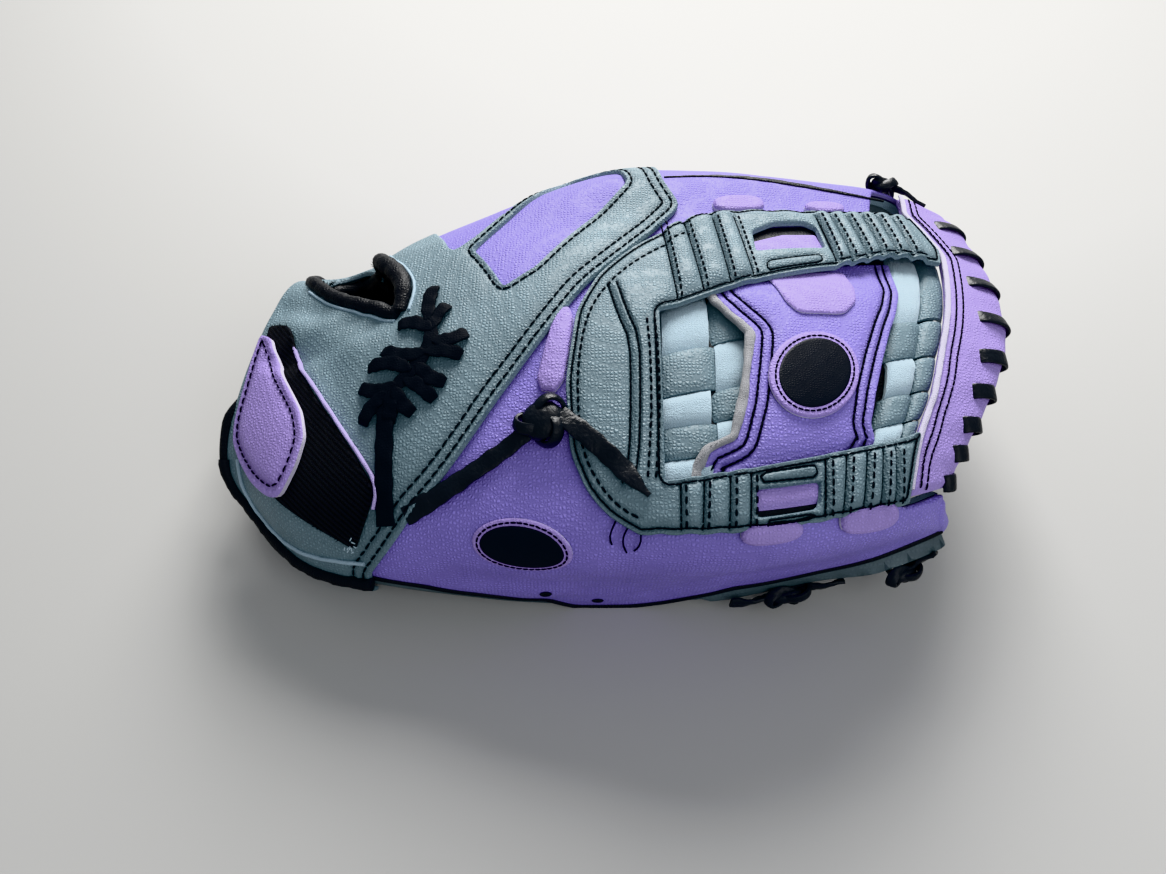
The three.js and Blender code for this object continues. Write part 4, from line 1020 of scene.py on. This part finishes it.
def oval_patch(name, u, v, turn, ring, core, seam, relief=None):
    """A bare patch in a leather ring. Each oval has its half width, its half height and its levels."""
    sheet(f"{name}_ring", oval(u, v, *ring[:2], turn), *ring[2:], LILAC_CUT, [name], relief=relief, step=1.8,
          rim=1.0)
    sheet(f"{name}_core", oval(u, v, *core[:2], turn), *core[2:], [PATCH, PATCH], relief=relief, step=1.8,
          rim=0.9)
    level = (lambda u, v: relief(u, v) + seam[2]) if relief else seam[2]
    stitches(f"{name}_stitching", [(oval(u, v, *seam[:2], turn), True, level)], pitch=2.4, length=2.5,
             wide=0.8)


panel_left = cornered(PANEL_LEFT, 2.0, False)
panel_right = cornered(PANEL_RIGHT, 2.0, False)
centre_seams = [(offset(side, d), False, 1.0, 1.1)
                for side, d in ((panel_left, -3.4), (panel_left, -7.4),
                                (panel_right, 3.2), (panel_right, 6.6))]
sheet("web_panel_leather", np.concatenate([panel_right, panel_left[::-1]]), -SHELL + GAP, 0,
                [PURPLE, EDGE_GREY], ["web_panel"], seams=centre_seams, relief=panel_rise, step=2.4,
                groove=0.8, edge_share=0.8)
stitches("web_panel_stitching", runs_on(centre_seams, lambda u, v: panel_rise(u, v) - 0.6), pitch=2.8,
         length=3.2, wide=0.95)
raw_path = resample(offset(panel_left[2:-2], 1.4), 1.6)
raw_rise = panel_rise(*raw_path.T) - 0.5
laced("web_panel_raw_edge", raw_path, lambda t: np.interp(t, np.linspace(0, 1, len(raw_rise)), raw_rise),
      lambda t: 3.6 + 0.7 * np.sin(t * 23), 3.2, EDGE_BEIGE, step=1.6, wrinkle=0.2, power=2.4)
fuzz("web_panel_edge_fibres", [(raw_path, 0.9)], 160, 1.2, EDGE_BEIGE)
flap = [[5.26, 3.42], [5.32, 3.28], [5.37, 3.16], [5.46, 3.08], [5.84, 3.07], [5.98, 3.15], [6.01, 3.26],
        [5.98, 3.42]]
sheet("web_flap_leather", cornered(flap, 3.0), 0.3, 1.5, LILAC_CUT, ["web_panel_flap"], relief=panel_rise,
      step=2.0)
oval_patch("web_patch", 5.52, 2.735, 0.75, (21.0, 16.4, 0.3, 1.8), (17.4, 12.9, 1.2, 2.1), (18.6, 14.0, 1.75),
           panel_rise)

# Woven leather under the web: straps along it, cross strips and felt
ROWS_LEFT, ROWS_RIGHT = [2.27, 2.4, 2.56, 2.7, 2.94, 3.24], [2.37, 2.5, 2.65, 2.85, 3.1, 3.62]
LEFT_COLUMNS, RIGHT_COLUMNS = [(4.26, 4.7), (4.72, 5.12)], [(-0.74, -0.27), (-0.25, 0.04)]


def row_edge(k, u):
    """The line between two rows of the weave."""
    return ROWS_LEFT[k] + (ROWS_RIGHT[k] - ROWS_LEFT[k]) * (u - 4.25) / 2.75


def tile(k, reach, right, white):
    """One crossing of the weave: it domes over the strip below it and dips under its neighbours."""
    long, wide = 1.22, 0.93
    t = np.linspace(-1, 1, 11)
    S, T = np.meshgrid(t * (wide if white else long), t * (long if white else wide), indexing="ij")
    v = np.full(S.shape, (ROWS_LEFT[k] + ROWS_LEFT[k + 1]) / 2)
    for _ in range(4):
        start = read(WEB_END, v) if right else 0.05 * smooth(2.3, 3.2, v)
        u = start + (reach[0] + reach[1]) / 2 + S * (reach[1] - reach[0]) / 2
        v = (row_edge(k, u) + row_edge(k + 1, u)) / 2 + T * (row_edge(k + 1, u) - row_edge(k, u)) / 2
    run, side = (T, S) if white else (S, T)
    top = -1.7 + (0.5 if white else 0.2) - 3.4 * np.abs(run / long) ** 3.2 - 0.9 * np.abs(side / wide) ** 5
    top = top - 1.2 * smooth(3.36, 3.56, v) - (1.3 if reach == LEFT_COLUMNS[1] else 0)
    top = top + (0.28 if white else 0.1) * np.sin(u * 71 + k * 2) * np.sin(v * 63 + k)
    n = len(t)
    verts = np.concatenate([lift(u, v, top).reshape(-1, 3), lift(u, v, top - 1.9).reshape(-1, 3)])
    at = lambda i, j: i * n + j
    faces = [(at(i, j), at(i + 1, j), at(i + 1, j + 1), at(i, j + 1))
             for i in range(n - 1) for j in range(n - 1)]
    faces += [tuple(q + n * n for q in reversed(face)) for face in faces]
    ring = ([at(i, 0) for i in range(n)] + [at(n - 1, j) for j in range(1, n)]
            + [at(i, n - 1) for i in range(n - 2, -1, -1)] + [at(0, j) for j in range(n - 2, 0, -1)])
    faces += [(b, a, a + n * n, b + n * n) for a, b in zip(ring, ring[1:] + ring[:1])]
    return verts, faces


for k in range(5):
    grey = [tile(k, LEFT_COLUMNS[c], False, False) for c in (0, 1) if (k + c) % 2]
    grey += [tile(k, RIGHT_COLUMNS[c], True, False) for c in (0, 1) if c or k % 2]
    make(f"web_strap_{k + 1}", *joined(grey), [GREY], {1: ["weave_strap_2"], 3: ["weave_strap_1"]}.get(k, []))
for name, columns, right, phase, nodes in (("left", LEFT_COLUMNS[0], False, 0, ["weave_cross_left"]),
                                           ("left_inner", LEFT_COLUMNS[1], False, 1, []),
                                           ("right", RIGHT_COLUMNS[0], True, 0, ["weave_cross_right"])):
    white = [tile(k, columns, right, True) for k in range(5) if (k + phase) % 2 == 0]
    make(f"web_cross_{name}", *joined(white), [FELT], nodes)
felt_outline = np.concatenate([
    column(4.12, 3.74, 2.26, 12), row(4.3, 6.6, 2.26, 12),
    run_of(lambda v: read(WEB_END, v) - 0.03, 2.26, 3.74, 12), row(7.26, 4.3, 3.74, 14)])
# A black sheet behind the weave: painted shade in the gaps between the tiles, so the white felt does not show
# through
sheet("web_weave_back", felt_outline, -6.4, -5.6, [ROLL, ROLL], slot="grey_leather", step=4.0)
sheet("web_felt", felt_outline, -8.5, -6.8, [FELT, FELT], ["weave_felt"], step=4.0)

# Roll along the web's free edge, with its raw inner edge and lace wraps
tip_v = np.linspace(2.04, 4.46, 90)
tip_in = read(WEB_END, tip_v) + WEB_SLACK
ring_count = 26
t = np.linspace(0, 2 * np.pi, ring_count, endpoint=False)
ex = np.sign(np.cos(t)) * np.abs(np.cos(t)) ** (2 / 3.2)
ey = np.sign(np.sin(t)) * np.abs(np.sin(t)) ** (2 / 2.6)
tip_rings = []
for u0, v0 in zip(tip_in, tip_v):
    mid, half = (u0 + TIP) / 2, (TIP - u0) / 2
    end = min(1.0, math.sqrt(max(0.02, min(v0 - 2.02, 4.48 - v0) / 0.08)))
    h = -1.3 + 3.7 * ey * end + 0.35 * np.sin(v0 * 31) * (ex > 0.2)
    tip_rings.append(lift(mid + half * ex, np.full(ring_count, v0), h))
last = len(tip_v) - 1
tip_faces = [(i * ring_count + k, i * ring_count + (k + 1) % ring_count,
              (i + 1) * ring_count + (k + 1) % ring_count, (i + 1) * ring_count + k)
             for i in range(last) for k in range(ring_count)]
tip_faces += [tuple(reversed(range(ring_count))), tuple(last * ring_count + k for k in range(ring_count))]
make("web_tip_roll", np.concatenate(tip_rings), tip_faces, [LILAC], ["web_tip_binding"])
inner_line = np.stack([tip_in, tip_v], 1)
laced("web_tip_raw_edge", offset(inner_line[2:-2], 0.4), 1.6, 2.4, 1.6, EDGE_PALE, wrinkle=0.05)
wave = 0.02 * np.sin(np.arange(len(inner_line)) * 0.55) * smooth(3.0, 2.5, inner_line[:, 1])
tip_seams = [offset(inner_line + np.stack([wave, wave * 0], 1), d)[3:-3] for d in (-3.2, -6.4)]
stitches("web_tip_stitching", [(seam, False, 2.3) for seam in tip_seams], pitch=3.0, length=3.1, wide=0.9)

WRAP_U = np.array([-0.4, -0.36, -0.24, -0.12, -0.04, 0.012, 0.024, 0.0, -0.08, -0.22, -0.34])
WRAP_HEIGHT = np.array([1.4, 2.9, 3.5, 3.2, 2.2, 0.4, -1.6, -4.2, -5.6, -5.4, -4.4])
for k, v0 in enumerate((2.08, 2.28, 2.45, 2.64, 2.85, 3.1, 3.37, 3.64, 3.95)):
    wrap_v = v0 + 0.03 * np.linspace(1, -1, 11) * (1 if k > 4 else 0)
    path = eased(lift(TIP + WRAP_U, wrap_v, WRAP_HEIGHT))
    ups = unit(path - lift(np.array(TIP - 0.16), np.array(v0), -1.0))
    width = 6.6 + 0.3 * np.sin(np.linspace(0, 9, len(path)) + k)
    make(f"edge_lace_wrap_{k + 1}", *sweep(path, ups, width, 1.5, 4.5, sides=16), [BLACK],
         [f"edge_lace_{k + 1}"])

# Loops beside the rails, crotch tab and thumb patch
for k, (u, v, half, tall) in enumerate([(5.12, 1.965, 11.5, 4.2), (5.98, 1.945, 12, 5.4),
                                        (5.16, 4.1, 12, 5.6), (6.0, 4.08, 9.5, 4.2)]):
    sheet(f"web_loop_piece_{k + 1}", oval(u, v, half, tall, 0, 32, 2.6), 0.2, 3.4, LILAC_CUT,
          [f"web_loop_{k + 1}"], step=1.8, rim=2.2)
tab = [[3.4, 3.27], [3.56, 3.26], [3.52, 3.0], [3.46, 2.74], [3.22, 2.76], [3.3, 3.0]]
sheet("crotch_tab_leather", eased(tab, 1, True), 0.4, 2.6, LILAC_CUT, ["crotch_tab"], step=1.8, bulge=0.8,
      bulge_reach=4)
oval_patch("thumb_patch", 3.14, 1.8, -0.05, (19.4, 11.4, 0.2, 1.3), (16.4, 8.8, 0.8, 1.6), (17.5, 9.8, 1.25))

# Lacing over the dart: leaf-shaped crossings on both sides of the slit
LEAVES = [((2.32, 3.25), (2.32, 3.56)), ((2.36, 3.17), (2.02, 3.26)), ((2.34, 3.0), (1.9, 3.06)),
          ((2.22, 2.88), (1.77, 2.93)), ((2.12, 2.79), (1.7, 2.79)), ((2.02, 2.74), (1.77, 2.55)),
          ((2.03, 2.74), (2.05, 2.56)), ((2.08, 2.77), (2.25, 2.62)), ((2.16, 2.82), (2.42, 2.7)),
          ((2.26, 2.92), (2.5, 2.8)), ((2.33, 3.0), (2.62, 2.97)), ((2.38, 3.08), (2.65, 3.13)),
          ((2.34, 3.16), (2.46, 3.37))]
leaves = []
for k, (root, end) in enumerate(LEAVES):
    root, end = np.array(root), np.array(end)
    bend = np.array([end[1] - root[1], root[0] - end[0]]) * (0.12 if k % 2 else -0.1)
    level = ON_PANEL + 0.9 + 0.12 * (k % 4)
    leaves.append(lace(eased([root, (root + end) / 2 + bend, end]),
                       lambda t, h=level: h + 0.7 * (1 - t) - 1.2 * smooth(0.88, 1, t),
                       lambda t: 1.8 + 4.4 * np.clip(1 - np.abs(2 * t - 1.1) ** 4, 0, 1) ** 0.5, 1.2,
                       step=0.9, wrinkle=0.04, power=5.0))
spine = eased([[2.3, 3.32], [2.38, 3.1], [2.27, 2.93], [2.12, 2.8], [1.97, 2.71]])
leaves.append(lace(spine, ON_PANEL + 1.5, lambda t: 4.2 + 2.6 * np.sin(np.pi * t), 1.0, step=1.2,
                   wrinkle=0.05, power=3.0))
make("dart_lace_crossings", *joined(leaves), [FLAT_LACE], ["dart_lacing"])
laced("dart_lace_strap", eased([[2.0, 2.68], [2.02, 2.3], [2.06, 1.88]]), ON_PANEL + 0.7, 7.4, 1.7, FLAT_LACE,
      ["dart_lace_end"], wrinkle=0.08, power=5.0)


# Knots of flat lace
def knot(name, node, u, v, size, seat, turn=0.0, tails=()):
    """A trefoil of lace round a core, with its tails. Size is its half length, half width and half height."""
    up, along, across = axes_at(u, v)
    long_way = along * math.cos(turn) + across * math.sin(turn)
    cross_way = np.cross(up, long_way)
    centre = lift(np.array(u), np.array(v), seat + size[2])
    t = np.linspace(0, 2 * np.pi, 90, endpoint=False)
    x = (np.sin(t) + 2 * np.sin(2 * t)) / 3
    y = (np.cos(t) - 2 * np.cos(2 * t)) / 3
    z = -np.sin(3 * t)
    path = (centre + x[:, None] * long_way * size[0] + y[:, None] * cross_way * size[1]
            + z[:, None] * up * size[2] * 0.55)
    ups = unit(path - centre + up * size[2] * 0.9)
    ball_t = np.linspace(-1, 1, 9)
    girth = np.sqrt(1.02 - ball_t ** 2)
    core = sweep(centre + ball_t[:, None] * long_way * size[0] * 0.8, np.tile(up, (9, 1)),
                 2 * size[1] * 0.8 * girth, 2 * size[2] * 0.75 * girth, 2.2)
    make(name, *joined([sweep(path, ups, 4.6, 2.0, 3.0, True, 10), core, *tails]), [BLACK], [node])


laced("crotch_lace_run", eased([[2.2, 1.98], [2.5, 2.18], [2.85, 2.38], [3.24, 2.56]]),
      lambda t: ON_SHELL + 1.0 + 2.6 * smooth(0.7, 1, t), lambda t: 8.4 - 2.0 * t, 2.0, BLACK,
      ["crotch_lace"], twist=0.12)
knot("crotch_lace_knot", "crotch_knot", 3.32, 2.58, [10.5, 9.5, 5.5], ON_SHELL, 0.5)
laced("crotch_lace_tail", eased([[3.46, 2.6], [3.66, 2.52], [3.9, 2.4], [4.18, 2.22]]),
      lambda t: ON_PANEL + 3.4 - 2.2 * smooth(0, 0.6, t), lambda t: 7.6 - 5.6 * smooth(0.72, 1, t), 1.8,
      BLACK, ["crotch_tail"], twist=0.18, power=4.5)
tail = lace(eased([[7.1, 4.66], [7.35, 4.5], [7.7, 4.42]]), lambda t: 4.5 - 1.5 * t,
            lambda t: 5.0 * (1 - 0.45 * smooth(0.55, 1, t)), 2.0, twist=0.3)
knot("index_lace_knot", "index_knot", 7.15, 4.62, [8.5, 5.5, 4], GAP, 0.3, [tail])
tail = lace(eased([[7.1, 0.5], [7.4, 0.62], [7.75, 0.8]]), lambda t: 8.0 - 2.0 * t, 5.6, 2.0, twist=0.3)
knot("thumb_tip_lace_knot", "thumb_tip_knot", 7.05, 0.5, [8, 5.5, 4], ON_SHELL + 5, -0.2, [tail])
tail = lace(eased([[5.0, 0.3], [5.5, 0.2], [6.1, 0.28]]), lambda t: 5.0 + 1.0 * np.sin(9 * t), 5.6, 2.0,
            twist=0.4)
knot("thumb_edge_lace_knot", "thumb_edge_knot", 5.5, 0.26, [10, 5.5, 4], ON_SHELL + 2, tails=[tail])
for k, seam_v in enumerate((5, 6, 7)):
    wraps = [lace([[7.1 + s, seam_v - 0.24], [7.12 + s, seam_v], [7.1 + s, seam_v + 0.24]],
                  lambda t: (ON_SHELL + 1 + 1.2 * np.sin(np.pi * t)
                             - 1.6 * (smooth(0.85, 1, t) + smooth(0.15, 0, t))),
                  5.0, 1.9) for s in (0.0, 0.42)]
    make(f"finger_lace_run_{k + 1}", *joined(wraps), [BLACK], [f"finger_lace_{k + 1}"])


# Seams: rolls between the fingers, along the hem and round the stall tips
def roll(name, path, height, thick):
    """A round binding along (u, v) places."""
    p = resample(path, 3.0)
    return make(name, *sweep(lift(*p.T, height), normal(*p.T), thick, thick, 2.0, sides=10), [ROLL])


for k, line in enumerate((5.0, 6.0, 7.0)):
    roll(f"finger_welt_{k + 1}", along_line(float(band_u(line)) - 0.1, 7.98, line, 40), -0.4, 2.6)
roll("thumb_hem_binding", along_line(3.95, 7.98, 0.0, 40), -3.2, 5.2)
roll("thumb_heel_binding", along_line(1.5, 4.0, 0.0, 30), -6.0, 5.0)
roll("thumb_edge_binding", eased([[1.74, 1.0], [2.02, 0.93], [2.42, 0.82], [2.8, 0.7], [3.17, 0.46],
                                  [3.5, 0.1]]), -0.4, 3.0)
roll("thumb_seam_binding", row(3.2, 7.98, THUMB_LOW, 60), -0.3, 3.0)
slit_u = np.linspace(4.46, 6.98, 26)
slit_drop = 0.23
index_slit = np.stack([slit_u, 4.5 - slit_drop * smooth(4.75, 7.1, slit_u)], 1)
laced("index_seam", index_slit, 0.15, lambda t: 0.9 + 2.0 * np.sin(np.pi * t) ** 1.5, 1.0, ROLL, wrinkle=0.05)

# Small punched holes with their pressed rims
for k, (u, v) in enumerate(((3.32, 0.72), (3.8, 0.3))):
    parts = []
    for radius, height, width, thick in ((1.9, 0.1, 1.3, 0.9), (0.7, 0.1 + 0.05, 1.5, 0.3)):
        path = oval(u, v, radius, radius, 0, 24)
        parts.append(sweep(lift(*path.T, height), normal(*path.T), width, thick, 2.0, True, 8))
    make(f"lace_eyelet_{k + 1}", *joined(parts), [ROLL])
ends = [lace(eased(path), lambda t: 0.6 + 2.0 * np.sin(np.pi * t), 0.7, 0.7, wrinkle=0.0, power=2.0)
        for path in ([[4.02, 2.06], [3.96, 1.96], [4.0, 1.82]], [[4.1, 2.05], [4.12, 1.94], [4.06, 1.84]],
                     [[3.92, 2.1], [3.86, 1.98], [3.88, 1.9]])]
make("web_thread_ends", *joined(ends), [THREAD])
lint = []
for _ in range(9):
    u, v = 1.7 + rng.normal(0, 0.04), 1.64 + rng.normal(0, 0.03)
    a = rng.uniform(0, 6.28)
    d = np.array([math.cos(a) * 0.02, math.sin(a) * 0.02])
    lint.append(lace([np.array([u, v]) - d, (u, v), np.array([u, v]) + d * rng.uniform(0.3, 1)],
                     PATCH_TOP + 0.3, 0.5, 0.4, step=0.6, wrinkle=0.1, power=2.0))
make("hook_patch_lint", *joined(lint), [FELT])
roll("pinky_hem_binding", along_line(1.8, 7.98, 8.0, 50), -3.2, 5.2)
for name, a, b in (("thumb", 0.0, 1.95), ("index", 4.54, 5.0), ("middle", 5.0, 6.0), ("ring", 6.0, 7.0),
                   ("pinky", 7.0, 8.0)):
    u, v = column(TIP, a + 0.02, b - 0.02, 24).T
    swell = np.sqrt(np.clip(np.minimum(v - a, b - v) / 0.12, 0.15, 1))
    make(f"{name}_tip_seam", *sweep(lift(u, v, -3.4), normal(u, v), 7.6 * swell, 7.8 * swell, 2.2, sides=14),
         [PURPLE])


# Floor, lights and camera
def floor_look():
    """A plain pale floor with a faint mottle."""
    mat = bpy.data.materials.new("pale_floor")
    mat.use_nodes = True
    nodes, links = mat.node_tree.nodes, mat.node_tree.links
    noise = nodes.new("ShaderNodeTexNoise")
    noise.inputs["Scale"].default_value = 6
    ramp = nodes.new("ShaderNodeValToRGB")
    ramp.color_ramp.elements[0].color = (0.42, 0.415, 0.405, 1)
    ramp.color_ramp.elements[1].color = (0.46, 0.455, 0.445, 1)
    links.new(noise.outputs[0], ramp.inputs[0])
    links.new(ramp.outputs[0], nodes["Principled BSDF"].inputs["Base Color"])
    nodes["Principled BSDF"].inputs["Roughness"].default_value = 0.7
    return mat


mesh = bpy.data.meshes.new("floor")
mesh.from_pydata([(-4, -4, -0.0002), (4, -4, -0.0002), (4, 4, -0.0002), (-4, 4, -0.0002)], [], [(0, 1, 2, 3)])
mesh.materials.append(floor_look())
floor = bpy.data.objects.new("floor", mesh)
bpy.context.scene.collection.objects.link(floor)

world = bpy.data.worlds.new("studio")
world.use_nodes = True
world.node_tree.nodes["Background"].inputs[0].default_value = (0.92, 0.96, 1.0, 1)
world.node_tree.nodes["Background"].inputs[1].default_value = 0.4
bpy.context.scene.world = world
bpy.context.scene.view_settings.view_transform = "Khronos PBR Neutral"


def area_light(name, at, to, power, size, colour):
    """A square lamp at one point that faces another."""
    light = bpy.data.lights.new(name, "AREA")
    light.energy, light.size, light.color = power, size, colour
    lamp = bpy.data.objects.new(name, light)
    lamp.location = at
    lamp.rotation_euler = (Vector(to) - Vector(at)).to_track_quat("-Z", "Y").to_euler()
    bpy.context.scene.collection.objects.link(lamp)


area_light("key", (0.12, 0.86, 0.70), (0, 0, 0.05), 24, 0.6, (1.0, 0.99, 0.97))
area_light("fill", (0.5, -0.75, 0.8), (0, 0, 0.04), 4.2, 0.9, (0.95, 0.97, 1.0))

camera_data = bpy.data.cameras.new("camera")
camera_data.lens, camera_data.sensor_width, camera_data.clip_start = 27.05, 36, 0.01
camera = bpy.data.objects.new("camera", camera_data)
right = Vector((0.99990, 0, 0.01399))
up = Vector((-0.00806, 0.81747, 0.57592))
look = Vector((0.01144, 0.57598, -0.81739))
turn = Matrix((right, up, -look)).transposed().to_4x4()
camera.matrix_world = Matrix.Translation((-0.017364, -0.258740, 0.350)) @ turn
bpy.context.scene.collection.objects.link(camera)
bpy.context.scene.camera = camera
